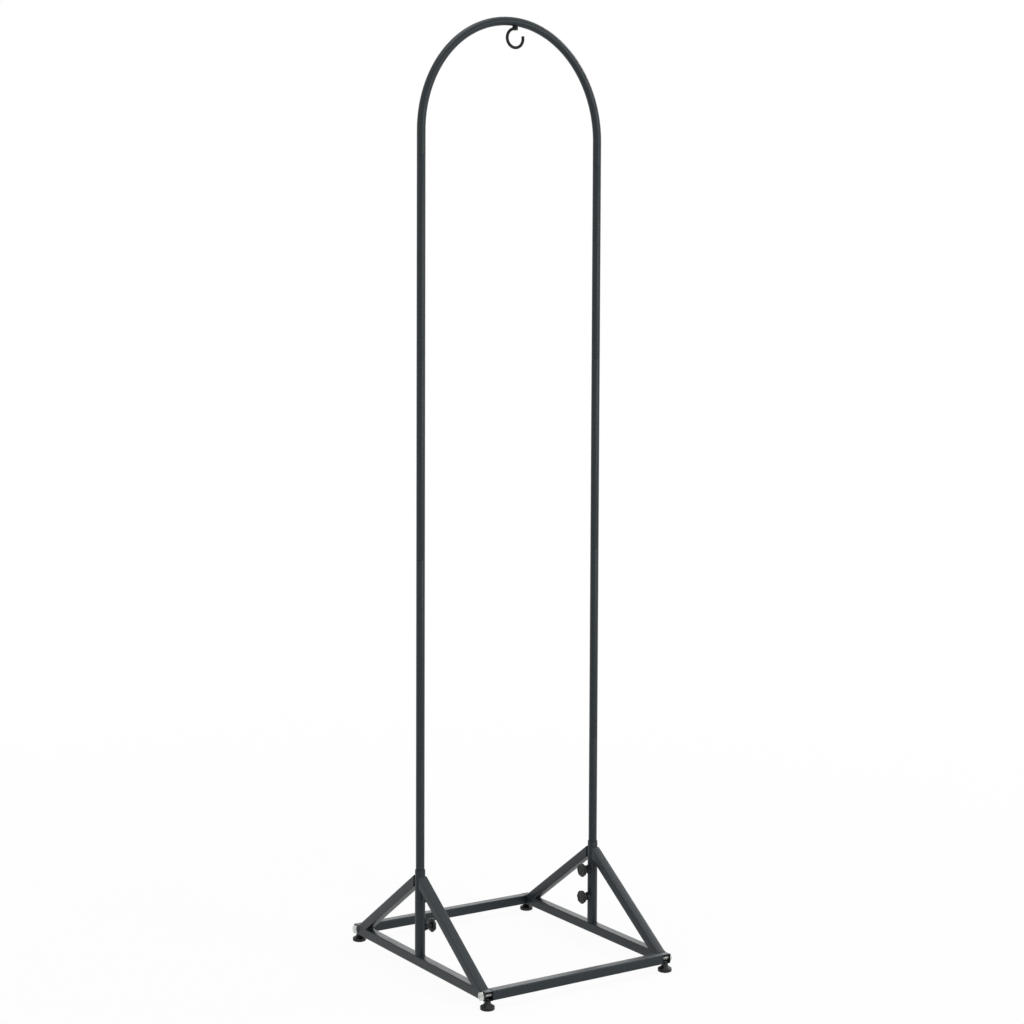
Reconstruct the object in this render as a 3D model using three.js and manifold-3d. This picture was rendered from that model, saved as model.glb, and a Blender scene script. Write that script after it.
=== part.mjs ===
// Hanging plant stand: a tall tubular arch with an open hook, on a knock-down base of two triangular side
// frames and two crossbars. Millimetres, +Z up, origin on the floor under the middle of the base.
// X runs across the arch, from the left side frame to the right one. Y runs along the rails, front to rear.
import * as THREE from "three";
import { mergeVertices } from "three/addons/utils/BufferGeometryUtils.js";
import Module from "manifold-3d";

// ---------- driving dimensions ----------
const RAIL_SPACING = 464; // centre to centre, also the spacing of the legs
const CROSSBAR_SPACING = 548; // centre to centre
const BASE_TUBE = 21; // square tube of rails, braces and crossbars
const BASE_TUBE_CORNER = 2;
const BASE_TUBE_WALL = 1.5;
const FRAME_APEX = 207.5; // underside of the rail to where the braces' top faces would meet
const BRACE_TOE_INSET = 8; // rail end line of the crossbar's centre to the toe of the brace

const SLEEVE_HEIGHT = 192; // above the rail
const SLEEVE_OUTER = 22.6;
const SLEEVE_WALL = 1.5;
const SLEEVE_RIM_CHAMFER = 0.6;

const LEG_OUTER = 19;
const LEG_WALL = 1.2;
const LEG_SECTIONS = 4; // plain lengths in each leg, below the bend
const SECTION_LENGTH = 437; // that shows, without its spigot
const SPIGOT_LENGTH = 32;
const SPIGOT_TAPER = 3;
const ARCH_RISE = 252; // from the end of the bend to the crown, on the tube's centre line
const ARCH_STUB = 55; // straight tube under each end of the bend

const BOLT_DIAMETER = 10;
const BOLT_HEAD_FLATS = 17;
const BOLT_HEAD_HEIGHT = 5;
const BOLT_GRIP = 14; // thread inside the crossbar
const PLUG_LENGTH = 12;

const FOOT_HEIGHT = 19; // floor to the underside of the rail, screwed right in
const FOOT_DIAMETER = 31;
const FOOT_RIM = 8.5;
const FOOT_NECK = 14;
const FOOT_OFFSET = 3.5; // outwards of the crossbar's centre line
const FOOT_STUD = 8;
const FOOT_NUT_FLATS = 13;
const FOOT_NUT_HEIGHT = 2.6;

const KNOB_LOWER = 103.5; // above the floor
const KNOB_UPPER = 166.5;
const KNOB_DIAMETER = 31; // over the lobes
const KNOB_LOBES = 7;
const KNOB_LOBE_DEPTH = 1.2;
const KNOB_HEAD = 8; // thickness of the lobed head
const KNOB_HUB_LENGTH = 7.5;
const KNOB_HUB = 15;
const KNOB_DISH = 1.2;
const CLAMP_SCREW = 10;
const WELD_NUT_FLATS = 17;
const WELD_NUT_HEIGHT = 6.5;

const HOOK_OFFSET = 8; // from the middle of the arch towards the right leg
const HOOK_WIRE = 6.8;
const HOOK_RING = 41.5; // on the wire's centre line
const HOOK_END_ANGLE = 14; // of the free end, above the horizontal
const HOOK_COLLAR = 12.6;
const HOOK_COLLAR_HEIGHT = 7;
const HOOK_SHANK = 6;
const INSERT_SADDLE = 1.6; // thickness of the threaded insert's flange under the tube
const INSERT_BARREL = 9;
const INSERT_LENGTH = 7; // inside the tube

const WELD_GAP = 0.3; // between pieces that are welded or bear on each other
const SCREW_CLEARANCE = 0.3; // round each screw, on the radius
const SPIGOT_CLEARANCE = 0.25; // on the radius

const ROUND = 16; // facets of tubes, screws and bores
const WIDE_ROUND = 24; // facets of pads and of the cones on hexagons
const ARCH_STEPS = 44;
const HOOK_STEPS = 30;
const CORNER_STEPS = 2; // facets in a rounded square corner

// ---------- places that follow ----------
const railX = RAIL_SPACING / 2;
const barY = CROSSBAR_SPACING / 2;
const railLength = CROSSBAR_SPACING + BASE_TUBE;
const railBottom = FOOT_HEIGHT;
const railMiddle = railBottom + BASE_TUBE / 2;
const railTop = railBottom + BASE_TUBE;
const legBottom = railTop + WELD_GAP;
const sleeveTop = railTop + SLEEVE_HEIGHT;
const archBottom = legBottom + LEG_SECTIONS * SECTION_LENGTH;
const archSpring = archBottom + ARCH_STUB;
const archCrown = archSpring + ARCH_RISE;
const legInner = LEG_OUTER - 2 * LEG_WALL;
const spigotOuter = legInner - 2 * SPIGOT_CLEARANCE;
const spigotInner = spigotOuter - 2 * LEG_WALL;

// ---------- finishes ----------
const finish = (color, roughness, metalness) => ({ color, roughness, metalness });
const POWDER_COAT = finish(0x3a3f41, 0.55, 0.2);
const ZINC = finish(0xb9bdb8, 0.35, 0.9);
const BLACK_PLASTIC = finish(0x1c1d1f, 0.6, 0);
const BLACK_STEEL = finish(0x232527, 0.45, 0.4);

// ---------- solids: closed meshes that can be joined and cut ----------
const wasm = await Module();
wasm.setup();

function solid(geometry) {
  const bare = geometry.clone();
  bare.deleteAttribute("normal");
  bare.deleteAttribute("uv");
  const merged = mergeVertices(bare, 1e-4);
  return new wasm.Manifold(
    new wasm.Mesh({
      numProp: 3,
      vertProperties: new Float32Array(merged.attributes.position.array),
      triVerts: new Uint32Array(merged.index.array),
    }),
  );
}

function geometryOf(body) {
  const mesh = body.getMesh();
  const geometry = new THREE.BufferGeometry();
  geometry.setAttribute("position", new THREE.BufferAttribute(mesh.vertProperties, 3));
  geometry.setIndex(new THREE.BufferAttribute(mesh.triVerts, 1));
  geometry.computeVertexNormals();
  return geometry;
}

// The first geometry without the others.
function cut(geometry, ...tools) {
  return geometryOf(tools.reduce((body, tool) => body.subtract(solid(tool)), solid(geometry)));
}

function join(first, ...others) {
  return geometryOf(others.reduce((body, other) => body.add(solid(other)), solid(first)));
}

function common(first, second) {
  return geometryOf(solid(first).intersect(solid(second)));
}

// ---------- basic forms ----------
function box(x, y, z, at = [0, 0, 0]) {
  return new THREE.BoxGeometry(x, y, z).translate(...at);
}

// A body of revolution about +Z from pairs of radius and height. The profile closes on the axis or on itself.
function turned(profile, facets = ROUND) {
  const points = profile.map(([radius, height]) => new THREE.Vector2(radius, height));
  return new THREE.LatheGeometry(points, facets).rotateX(Math.PI / 2);
}

// A cylinder along +Z from low to high.
function rod(diameter, low, high, facets = ROUND) {
  const length = high - low;
  const cylinder = new THREE.CylinderGeometry(diameter / 2, diameter / 2, length, facets);
  return cylinder.rotateX(Math.PI / 2).translate(0, 0, (low + high) / 2);
}

// Turns what stands along +Z so that it lies along +X, or -X where side is -1.
function alongX(geometry, side = 1) {
  return geometry.rotateY((side * Math.PI) / 2);
}

function hexagon(flats) {
  const corner = flats / Math.sqrt(3);
  const points = [0, 1, 2, 3, 4, 5].map((i) => {
    const angle = (i * Math.PI) / 3;
    return new THREE.Vector2(corner * Math.cos(angle), corner * Math.sin(angle));
  });
  return new THREE.Shape(points);
}

// A hexagonal prism along +Z from 0, its far corners turned off to a cone as on a forged head or nut.
function hexPrism(flats, height) {
  const prism = new THREE.ExtrudeGeometry(hexagon(flats), { depth: height, bevelEnabled: false });
  const corner = flats / Math.sqrt(3);
  const slope = (corner - flats / 2) * 0.6;
  const cone = turned([
    [0, -1],
    [corner + 1, -1],
    [corner + 1, height - slope - 0.5],
    [flats / 2, height],
    [0, height],
  ], WIDE_ROUND);
  return common(prism, cone);
}

function roundedSquare(side, corner) {
  const half = side / 2;
  const middle = half - corner;
  const outline = new THREE.Shape();
  outline.moveTo(half, -middle);
  [0, 1, 2, 3].forEach((turn) => {
    const start = (turn * Math.PI) / 2;
    const centre = start + Math.PI / 4;
    const reach = middle * Math.SQRT2;
    outline.absarc(reach * Math.cos(centre), reach * Math.sin(centre), corner, start, start + Math.PI / 2);
  });
  outline.closePath();
  return outline;
}

// Square tube along +Z, centred on it, from 0 to length.
function squareTube(length) {
  const outline = roundedSquare(BASE_TUBE, BASE_TUBE_CORNER);
  const inner = roundedSquare(BASE_TUBE - 2 * BASE_TUBE_WALL, BASE_TUBE_CORNER - BASE_TUBE_WALL);
  outline.holes.push(new THREE.Path(inner.getPoints(CORNER_STEPS)));
  return new THREE.ExtrudeGeometry(outline, {
    depth: length,
    bevelEnabled: false,
    curveSegments: CORNER_STEPS,
  });
}

// ---------- the object's scene graph ----------
const stand = new THREE.Group();

function add(name, geometry, look, parent = stand) {
  const material = new THREE.MeshStandardMaterial(look);
  const mesh = new THREE.Mesh(geometry, material);
  mesh.name = name;
  parent.add(mesh);
  return mesh;
}

function groupAt(x, y, z, parent = stand) {
  const group = new THREE.Group();
  group.position.set(x, y, z);
  parent.add(group);
  return group;
}

// ---------- side frames ----------
const SIDES = [
  ["left", -1],
  ["right", 1],
];
const ENDS = [
  ["front", -1],
  ["rear", 1],
];
const LEVELS = [
  ["lower", KNOB_LOWER],
  ["upper", KNOB_UPPER],
];

// A rail lies along Y with open ends. The corner bolts cross it and the feet screw in from below.
function rail() {
  const tube = squareTube(railLength).translate(0, 0, -railLength / 2).rotateX(Math.PI / 2);
  const holes = ENDS.flatMap(([, end]) => [
    alongX(rod(BOLT_DIAMETER + 2 * SCREW_CLEARANCE, -BASE_TUBE, BASE_TUBE)).translate(0, end * barY, 0),
    rod(FOOT_STUD + 2 * SCREW_CLEARANCE, -BASE_TUBE, 0).translate(0, end * (barY + FOOT_OFFSET), 0),
  ]);
  return cut(tube, ...holes);
}

// A brace runs from the rail's end up to the sleeve. It is cut level on the rail and upright at the sleeve.
function brace(end) {
  const reach = barY - BRACE_TOE_INSET;
  const rise = FRAME_APEX - BASE_TUBE;
  const slope = Math.atan2(rise, reach);
  const length = Math.hypot(rise, reach) + 4 * BASE_TUBE;
  const tube = squareTube(length)
    .translate(0, BASE_TUBE / 2, -2 * BASE_TUBE)
    .rotateX(slope - Math.PI / 2)
    .translate(0, -reach, railTop)
    .scale(1, -end, 1);
  const upright = SLEEVE_OUTER / 2 + WELD_GAP;
  const keep = box(2 * BASE_TUBE, reach, 2 * FRAME_APEX, [
    0,
    end * (upright + reach / 2),
    legBottom + FRAME_APEX,
  ]);
  const facing = end > 0 ? flipped(tube) : tube;
  return common(facing, keep);
}

// A mirrored geometry with its faces turned back out.
function flipped(geometry) {
  const plain = geometry.index ? geometry.toNonIndexed() : geometry;
  const corners = plain.attributes.position;
  for (let i = 0; i < corners.count; i += 3) {
    const held = new THREE.Vector3().fromBufferAttribute(corners, i + 1);
    const next = new THREE.Vector3().fromBufferAttribute(corners, i + 2);
    corners.setXYZ(i + 1, next.x, next.y, next.z);
    corners.setXYZ(i + 2, held.x, held.y, held.z);
  }
  return plain;
}

// The round sleeve that a leg slides in, bored for the clamp screws on the side that faces inwards.
function sleeve(inwards) {
  const outer = SLEEVE_OUTER / 2;
  const inner = outer - SLEEVE_WALL;
  const tube = turned([
    [inner, legBottom],
    [outer, legBottom],
    [outer, sleeveTop - SLEEVE_RIM_CHAMFER],
    [outer - SLEEVE_RIM_CHAMFER, sleeveTop],
    [inner, sleeveTop],
    [inner, legBottom],
  ]);
  const bores = LEVELS.map(([, height]) =>
    alongX(rod(CLAMP_SCREW + 2 * SCREW_CLEARANCE, 0, SLEEVE_OUTER), inwards).translate(0, 0, height),
  );
  return cut(tube, ...bores);
}

// The hexagon nut of a clamp screw, welded on the sleeve. The upper one has flats up, the lower one corners.
function weldNut(cornersUp) {
  const nut = hexPrism(WELD_NUT_FLATS, WELD_NUT_HEIGHT).rotateZ(cornersUp ? 0 : Math.PI / 6);
  const thread = rod(CLAMP_SCREW + 2 * SCREW_CLEARANCE, -1, WELD_NUT_HEIGHT + 1);
  return cut(nut, thread).translate(0, 0, SLEEVE_OUTER / 2 + WELD_GAP);
}

function addSideFrame(side, sign) {
  const frame = groupAt(sign * railX, 0, 0);
  add(`${side}_rail`, rail().translate(0, 0, railMiddle), POWDER_COAT, frame);
  add(`${side}_sleeve`, sleeve(-sign), POWDER_COAT, frame);
  for (const [place, end] of ENDS) add(`${side}_${place}_brace`, brace(end), POWDER_COAT, frame);
  for (const [level, height] of LEVELS) {
    const nut = alongX(weldNut(level === "lower"), -sign);
    add(`${side}_${level}_weld_nut`, nut.translate(0, 0, height), POWDER_COAT, frame);
  }
}

// ---------- crossbars and the bolts that hold them ----------
const crossbarLength = RAIL_SPACING - BASE_TUBE - 2 * WELD_GAP;

// The threaded plug that closes a crossbar's end, set in flush.
function plug(side) {
  const width = BASE_TUBE - 2 * BASE_TUBE_WALL - 2 * WELD_GAP;
  const at = (side * (crossbarLength - PLUG_LENGTH)) / 2;
  const block = box(PLUG_LENGTH, width, width, [at, 0, 0]);
  const thread = alongX(rod(BOLT_DIAMETER + 2 * SCREW_CLEARANCE, -RAIL_SPACING, RAIL_SPACING));
  return cut(block, thread);
}

// A hexagon bolt whose head bears on the rail's outer face. Its head points along +X.
function cornerBolt() {
  const tip = -(BASE_TUBE + WELD_GAP + BOLT_GRIP);
  const head = hexPrism(BOLT_HEAD_FLATS, BOLT_HEAD_HEIGHT).rotateZ(Math.PI / 6);
  const shank = turned([
    [0, tip],
    [BOLT_DIAMETER / 2 - 1, tip],
    [BOLT_DIAMETER / 2, tip + 1],
    [BOLT_DIAMETER / 2, BOLT_HEAD_HEIGHT / 2],
    [0, BOLT_HEAD_HEIGHT / 2],
  ]);
  return join(head, shank);
}

function addCrossbar(place, end) {
  const bar = groupAt(0, end * barY, railMiddle);
  const tube = squareTube(crossbarLength).translate(0, 0, -crossbarLength / 2);
  add(`${place}_crossbar`, alongX(tube), POWDER_COAT, bar);
  for (const [side, sign] of SIDES) {
    add(`${place}_${side}_plug`, plug(sign), BLACK_STEEL, bar);
    const bolt = alongX(cornerBolt(), sign);
    bolt.translate(sign * (railX + BASE_TUBE / 2 + WELD_GAP), 0, 0);
    add(`${place}_${side}_bolt`, bolt, ZINC, bar);
  }
}

// ---------- levelling feet ----------
const studTop = railBottom + BASE_TUBE_WALL + WELD_GAP + FOOT_NUT_HEIGHT;
const studFoot = FOOT_RIM - 2;

// The moulded pad: a rim on the floor, and shoulders that draw in to the neck under the rail.
function footPad() {
  const radius = FOOT_DIAMETER / 2;
  const neck = FOOT_NECK / 2;
  const top = railBottom - WELD_GAP;
  const shoulder = FOOT_RIM + (top - FOOT_RIM) * 0.35;
  const body = turned([
    [0, 0],
    [radius - 1, 0],
    [radius, 1],
    [radius, FOOT_RIM - 1.5],
    [radius - 1.2, FOOT_RIM],
    [neck + 2.2, shoulder],
    [neck + 0.4, shoulder + 2.2],
    [neck, top],
    [0, top],
  ], WIDE_ROUND);
  return cut(body, rod(FOOT_STUD + 2 * SCREW_CLEARANCE, studFoot, railTop));
}

function footNut() {
  const nut = hexPrism(FOOT_NUT_FLATS, FOOT_NUT_HEIGHT);
  const thread = rod(FOOT_STUD + 2 * SCREW_CLEARANCE, -1, FOOT_NUT_HEIGHT + 1);
  return cut(nut, thread).translate(0, 0, railBottom + BASE_TUBE_WALL + WELD_GAP);
}

function addFoot(side, sign, place, end) {
  const foot = groupAt(sign * railX, end * (barY + FOOT_OFFSET), 0);
  add(`${place}_${side}_foot_pad`, footPad(), BLACK_PLASTIC, foot);
  add(`${place}_${side}_foot_stud`, rod(FOOT_STUD, studFoot + WELD_GAP, studTop), ZINC, foot);
  add(`${place}_${side}_foot_nut`, footNut(), BLACK_STEEL, foot);
}

// ---------- clamp knobs ----------
const hubStart = SLEEVE_OUTER / 2 + WELD_NUT_HEIGHT + 2 * WELD_GAP;
const headStart = hubStart + KNOB_HUB_LENGTH;
const headEnd = headStart + KNOB_HEAD;

// The lobed outline, inset by a margin.
function lobedOutline(inset) {
  const middle = (KNOB_DIAMETER - KNOB_LOBE_DEPTH) / 2 - inset;
  const points = KNOB_LOBES * 5;
  const outline = [];
  for (let i = 0; i < points; i += 1) {
    const angle = (2 * Math.PI * i) / points;
    const radius = middle + (KNOB_LOBE_DEPTH / 2) * Math.cos(KNOB_LOBES * angle);
    outline.push(new THREE.Vector2(radius * Math.cos(angle), radius * Math.sin(angle)));
  }
  return new THREE.Shape(outline);
}

// The moulded knob on a screw that points along -Z: a lobed head with a dished face, on a waisted hub.
function knobHead() {
  const bevel = 1.2;
  const head = new THREE.ExtrudeGeometry(lobedOutline(bevel), {
    depth: KNOB_HEAD - 2 * bevel,
    bevelThickness: bevel,
    bevelSize: bevel,
    bevelSegments: 2,
  }).translate(0, 0, headStart + bevel);
  const hub = turned([
    [0, hubStart],
    [KNOB_HUB / 2, hubStart],
    [KNOB_HUB / 2 - 0.6, hubStart + KNOB_HUB_LENGTH / 3],
    [KNOB_HUB / 2 + 0.4, headStart - 2],
    [KNOB_HUB / 2 + 3, headStart],
    [KNOB_HUB / 2 + 3, headStart + 1],
    [0, headStart + 1],
  ]);
  const dishRadius = KNOB_DIAMETER / 2 - KNOB_LOBE_DEPTH - 3;
  const dish = turned([
    [0, headEnd - KNOB_DISH],
    [dishRadius - KNOB_DISH, headEnd - KNOB_DISH],
    [dishRadius, headEnd],
    [dishRadius, headEnd + 1],
    [0, headEnd + 1],
  ]);
  const bore = rod(CLAMP_SCREW + 2 * SCREW_CLEARANCE, 0, headStart + KNOB_HEAD / 2);
  return cut(join(head, hub), dish, bore);
}

function addKnob(side, sign, level, height) {
  const post = groupAt(sign * railX, 0, height);
  const tip = LEG_OUTER / 2 + WELD_GAP;
  const screw = rod(CLAMP_SCREW, tip, headStart + KNOB_HEAD / 2 - WELD_GAP);
  add(`${side}_${level}_clamp_screw`, alongX(screw, -sign), ZINC, post);
  add(`${side}_${level}_knob`, alongX(knobHead(), -sign), BLACK_PLASTIC, post);
}

// ---------- mast: leg sections and the arch ----------
// A length of leg: plain tube, drawn in at the top to the spigot that the next length sits on.
function legSection() {
  const outer = LEG_OUTER / 2;
  const inner = legInner / 2;
  const shoulder = SECTION_LENGTH - WELD_GAP;
  const tip = shoulder + SPIGOT_LENGTH;
  return turned([
    [inner, 0],
    [outer, 0],
    [outer, shoulder - 0.4],
    [outer - 0.4, shoulder],
    [spigotOuter / 2, shoulder],
    [spigotOuter / 2, tip - 1],
    [spigotOuter / 2 - 0.5, tip],
    [spigotInner / 2, tip],
    [spigotInner / 2, shoulder],
    [inner, shoulder - SPIGOT_TAPER],
    [inner, 0],
  ]);
}

// The bend's centre line, in the plane of X and Z: up the left stub, over a half ellipse, down the right.
class ArchLine extends THREE.Curve {
  getPoint(share, target = new THREE.Vector3()) {
    const quarter = (Math.PI / 4) * (railX + ARCH_RISE);
    const whole = 2 * (quarter + ARCH_STUB);
    const run = share * whole;
    if (run < ARCH_STUB) return target.set(-railX, 0, archBottom + run);
    if (run > whole - ARCH_STUB) return target.set(railX, 0, archBottom + whole - run);
    const angle = (Math.PI * (run - ARCH_STUB)) / (2 * quarter);
    return target.set(-railX * Math.cos(angle), 0, archSpring + ARCH_RISE * Math.sin(angle));
  }
}

// A sweep of a round section along the arch. The section is bored where an inner radius is given.
function bentTube(outer, inner = 0) {
  const wall = new THREE.Shape().absarc(0, 0, outer, 0, 2 * Math.PI);
  if (inner > 0) wall.holes.push(new THREE.Path().absarc(0, 0, inner, 0, 2 * Math.PI));
  return new THREE.ExtrudeGeometry(wall, {
    steps: ARCH_STEPS,
    extrudePath: new ArchLine(),
    curveSegments: ROUND / 2,
    bevelEnabled: false,
  });
}

// The bent top tube, open at both ends, with the hole under the crown for the hook's insert.
function arch() {
  const hole = rod(INSERT_BARREL + 2 * SCREW_CLEARANCE, archCrown - LEG_OUTER, archCrown);
  return cut(bentTube(LEG_OUTER / 2, legInner / 2), hole.translate(HOOK_OFFSET, 0, 0));
}

function addMast() {
  const mast = groupAt(0, 0, 0);
  add("arch", arch(), POWDER_COAT, mast);
  for (const [side, sign] of SIDES)
    for (let i = 0; i < LEG_SECTIONS; i += 1) {
      const section = legSection().translate(sign * railX, 0, legBottom + i * SECTION_LENGTH);
      add(`${side}_leg_section_${i + 1}`, section, POWDER_COAT, mast);
    }
}

// ---------- hook ----------
const hookTube = archSpring + ARCH_RISE * Math.sqrt(1 - (HOOK_OFFSET / railX) ** 2);
const tubeUnderside = hookTube - LEG_OUTER / 2;
const collarTop = tubeUnderside - INSERT_SADDLE - WELD_GAP;
const ringTop = collarTop - WELD_GAP - HOOK_WIRE / 2;
const ringCentre = ringTop - HOOK_RING / 2;

// The threaded insert in the crown: a barrel through the tube's wall, and a flange shaped to the tube.
function hookInsert() {
  const bottom = tubeUnderside - INSERT_SADDLE;
  const tube = bentTube(LEG_OUTER / 2 + WELD_GAP).translate(-HOOK_OFFSET, 0, 0);
  const flange = cut(rod(HOOK_COLLAR, bottom, hookTube), tube);
  const barrel = rod(INSERT_BARREL, bottom, tubeUnderside + LEG_WALL + INSERT_LENGTH);
  const thread = rod(HOOK_SHANK + 2 * SCREW_CLEARANCE, bottom - 1, hookTube + LEG_OUTER);
  return cut(join(flange, barrel), thread);
}

// The ring leaves the collar on the left, runs under and up again on the right, and stops short of it.
class HookLine extends THREE.Curve {
  getPoint(share, target = new THREE.Vector3()) {
    const sweep = (3 * Math.PI) / 2 + THREE.MathUtils.degToRad(HOOK_END_ANGLE);
    const angle = Math.PI / 2 + share * sweep;
    const radius = HOOK_RING / 2;
    return target.set(radius * Math.cos(angle), 0, ringCentre + radius * Math.sin(angle));
  }
}

// The open ring with the collar and the threaded shank that it is forged on.
function hook() {
  const wire = new THREE.Shape().absarc(0, 0, HOOK_WIRE / 2, 0, 2 * Math.PI);
  const ring = new THREE.ExtrudeGeometry(wire, {
    steps: HOOK_STEPS,
    extrudePath: new HookLine(),
    curveSegments: 6,
    bevelEnabled: false,
  });
  const edge = 0.6;
  const collar = turned([
    [0, collarTop - HOOK_COLLAR_HEIGHT],
    [HOOK_COLLAR / 2 - edge, collarTop - HOOK_COLLAR_HEIGHT],
    [HOOK_COLLAR / 2, collarTop - HOOK_COLLAR_HEIGHT + edge],
    [HOOK_COLLAR / 2, collarTop],
    [0, collarTop],
  ]);
  const shank = rod(HOOK_SHANK, ringTop, tubeUnderside + LEG_WALL + INSERT_LENGTH - 1);
  return join(ring, collar, shank);
}

function addHook() {
  const place = groupAt(HOOK_OFFSET, 0, 0);
  add("hook_insert", hookInsert(), BLACK_STEEL, place);
  add("hook", hook(), BLACK_STEEL, place);
}

// ---------- the whole ----------
for (const [side, sign] of SIDES) addSideFrame(side, sign);
for (const [place, end] of ENDS) addCrossbar(place, end);
for (const [side, sign] of SIDES) {
  for (const [place, end] of ENDS) addFoot(side, sign, place, end);
  for (const [level, height] of LEVELS) addKnob(side, sign, level, height);
}
addMast();
addHook();

export default stand;
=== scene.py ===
"""Looks of a hanging plant stand: a tall tubular arch with a hook, on a knock-down base.

Every assembly is a class with its sizes in millimetres. Pieces are built along +Z about their own axis, then
moved to their place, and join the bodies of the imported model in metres.
"""

from __future__ import annotations

import logging
import math
from collections.abc import Sequence
from dataclasses import dataclass
from enum import Enum

import bmesh
import bpy
from mathutils import Matrix, Vector


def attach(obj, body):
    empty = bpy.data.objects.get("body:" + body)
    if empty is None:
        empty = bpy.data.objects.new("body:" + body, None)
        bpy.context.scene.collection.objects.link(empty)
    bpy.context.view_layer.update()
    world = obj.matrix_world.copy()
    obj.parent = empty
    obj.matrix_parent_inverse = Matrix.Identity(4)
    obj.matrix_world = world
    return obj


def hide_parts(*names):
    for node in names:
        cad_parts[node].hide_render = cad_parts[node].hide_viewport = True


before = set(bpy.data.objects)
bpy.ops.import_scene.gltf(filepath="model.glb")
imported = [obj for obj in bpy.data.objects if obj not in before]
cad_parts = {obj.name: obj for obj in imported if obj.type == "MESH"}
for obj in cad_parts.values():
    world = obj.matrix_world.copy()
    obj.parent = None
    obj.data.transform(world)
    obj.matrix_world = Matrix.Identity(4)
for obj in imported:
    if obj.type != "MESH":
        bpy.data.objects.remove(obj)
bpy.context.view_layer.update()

MM = 0.001
GAP = 0.3  # between pieces that are welded or bear on each other, as in the solids
SHARP_ANGLE = math.radians(32)
AXIS = 0.01  # the radius that stands for the axis, where a turned body is closed

log = logging.getLogger("plant_stand")


# ---------- options ----------
class Side(Enum):
    """A side of the stand, with its sign along X."""

    LEFT = -1
    RIGHT = 1

    @property
    def label(self) -> str:
        """The side's name in lower case."""
        return self.name.lower()


class End(Enum):
    """An end of the side frames, with its sign along Y."""

    FRONT = -1
    REAR = 1

    @property
    def label(self) -> str:
        """The end's name in lower case."""
        return self.name.lower()


class Level(Enum):
    """A clamp screw's height above the floor."""

    LOWER = 103.5
    UPPER = 166.5

    @property
    def label(self) -> str:
        """The level's name in lower case."""
        return self.name.lower()


class Slot(Enum):
    """The record's material slots."""

    POWDER_COAT = "powder_coat"
    ZINC = "zinc"
    BLACK_PLASTIC = "black_plastic"
    BLACK_STEEL = "black_steel"


class Cut(Enum):
    """How one solid is combined with another."""

    AWAY = "DIFFERENCE"
    COMMON = "INTERSECT"
    JOINED = "UNION"


# ---------- node graphs as Python expressions ----------
class Wire:
    """A number's socket that takes part in arithmetic."""

    def __init__(self, graph: Graph, socket: bpy.types.NodeSocket) -> None:
        """Keeps the socket and the graph that it belongs to."""
        self.graph = graph
        self.socket = socket

    def __add__(self, other: Wire | float) -> Wire:
        """Sum."""
        return self.graph.math("ADD", self, other)

    def __radd__(self, other: float) -> Wire:
        """Sum, with the number first."""
        return self.graph.math("ADD", other, self)

    def __sub__(self, other: Wire | float) -> Wire:
        """Difference."""
        return self.graph.math("SUBTRACT", self, other)

    def __rsub__(self, other: float) -> Wire:
        """Difference, with the number first."""
        return self.graph.math("SUBTRACT", other, self)

    def __mul__(self, other: Wire | float) -> Wire:
        """Product."""
        return self.graph.math("MULTIPLY", self, other)

    def __rmul__(self, other: float) -> Wire:
        """Product, with the number first."""
        return self.graph.math("MULTIPLY", other, self)

    def __truediv__(self, other: Wire | float) -> Wire:
        """Quotient."""
        return self.graph.math("DIVIDE", self, other)

    def __rtruediv__(self, other: float) -> Wire:
        """Quotient, with the number first."""
        return self.graph.math("DIVIDE", other, self)

    def clamped(self) -> Wire:
        """The value held between 0 and 1."""
        return self.graph.math("MULTIPLY", self, 1.0, clamp=True)

    def contrasted(self, contrast: float) -> Wire:
        """The value with its distance from 0.5 multiplied, held between 0 and 1."""
        return (self * contrast - (contrast - 1) / 2).clamped()


class Graph:
    """A node tree that is written as expressions."""

    def __init__(self, tree: bpy.types.NodeTree) -> None:
        """Keeps a material's or a geometry group's node tree."""
        self.tree = tree

    def node(
        self,
        kind: str,
        settings: dict[str, object] | None = None,
        inputs: dict[str | int, object] | None = None,
    ) -> bpy.types.Node:
        """Adds a node.

        Args:
            kind: the node's type.
            settings: the node's properties, which are set first.
            inputs: values, wires or sockets for its input sockets, by name or number.

        Returns:
            The node.
        """
        made = self.tree.nodes.new(kind)
        for name, value in (settings or {}).items():
            setattr(made, name, value)
        for key, value in (inputs or {}).items():
            self.feed(made.inputs[key], value)
        return made

    def feed(self, socket: bpy.types.NodeSocket, value: object) -> None:
        """Links a wire or a socket to an input, or sets its value.

        Args:
            socket: the input.
            value: a wire, an output socket, or a plain value.
        """
        if isinstance(value, Wire):
            self.tree.links.new(value.socket, socket)
        elif isinstance(value, bpy.types.NodeSocket):
            self.tree.links.new(value, socket)
        else:
            socket.default_value = value

    def math(self, operation: str, *operands: Wire | float, clamp: bool = False) -> Wire:
        """Adds a Math node.

        Args:
            operation: the node's operation.
            operands: its values, in order.
            clamp: holds the result between 0 and 1.

        Returns:
            The result.
        """
        settings = {"operation": operation, "use_clamp": clamp}
        made = self.node("ShaderNodeMath", settings, dict(enumerate(operands)))
        return Wire(self, made.outputs[0])


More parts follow.
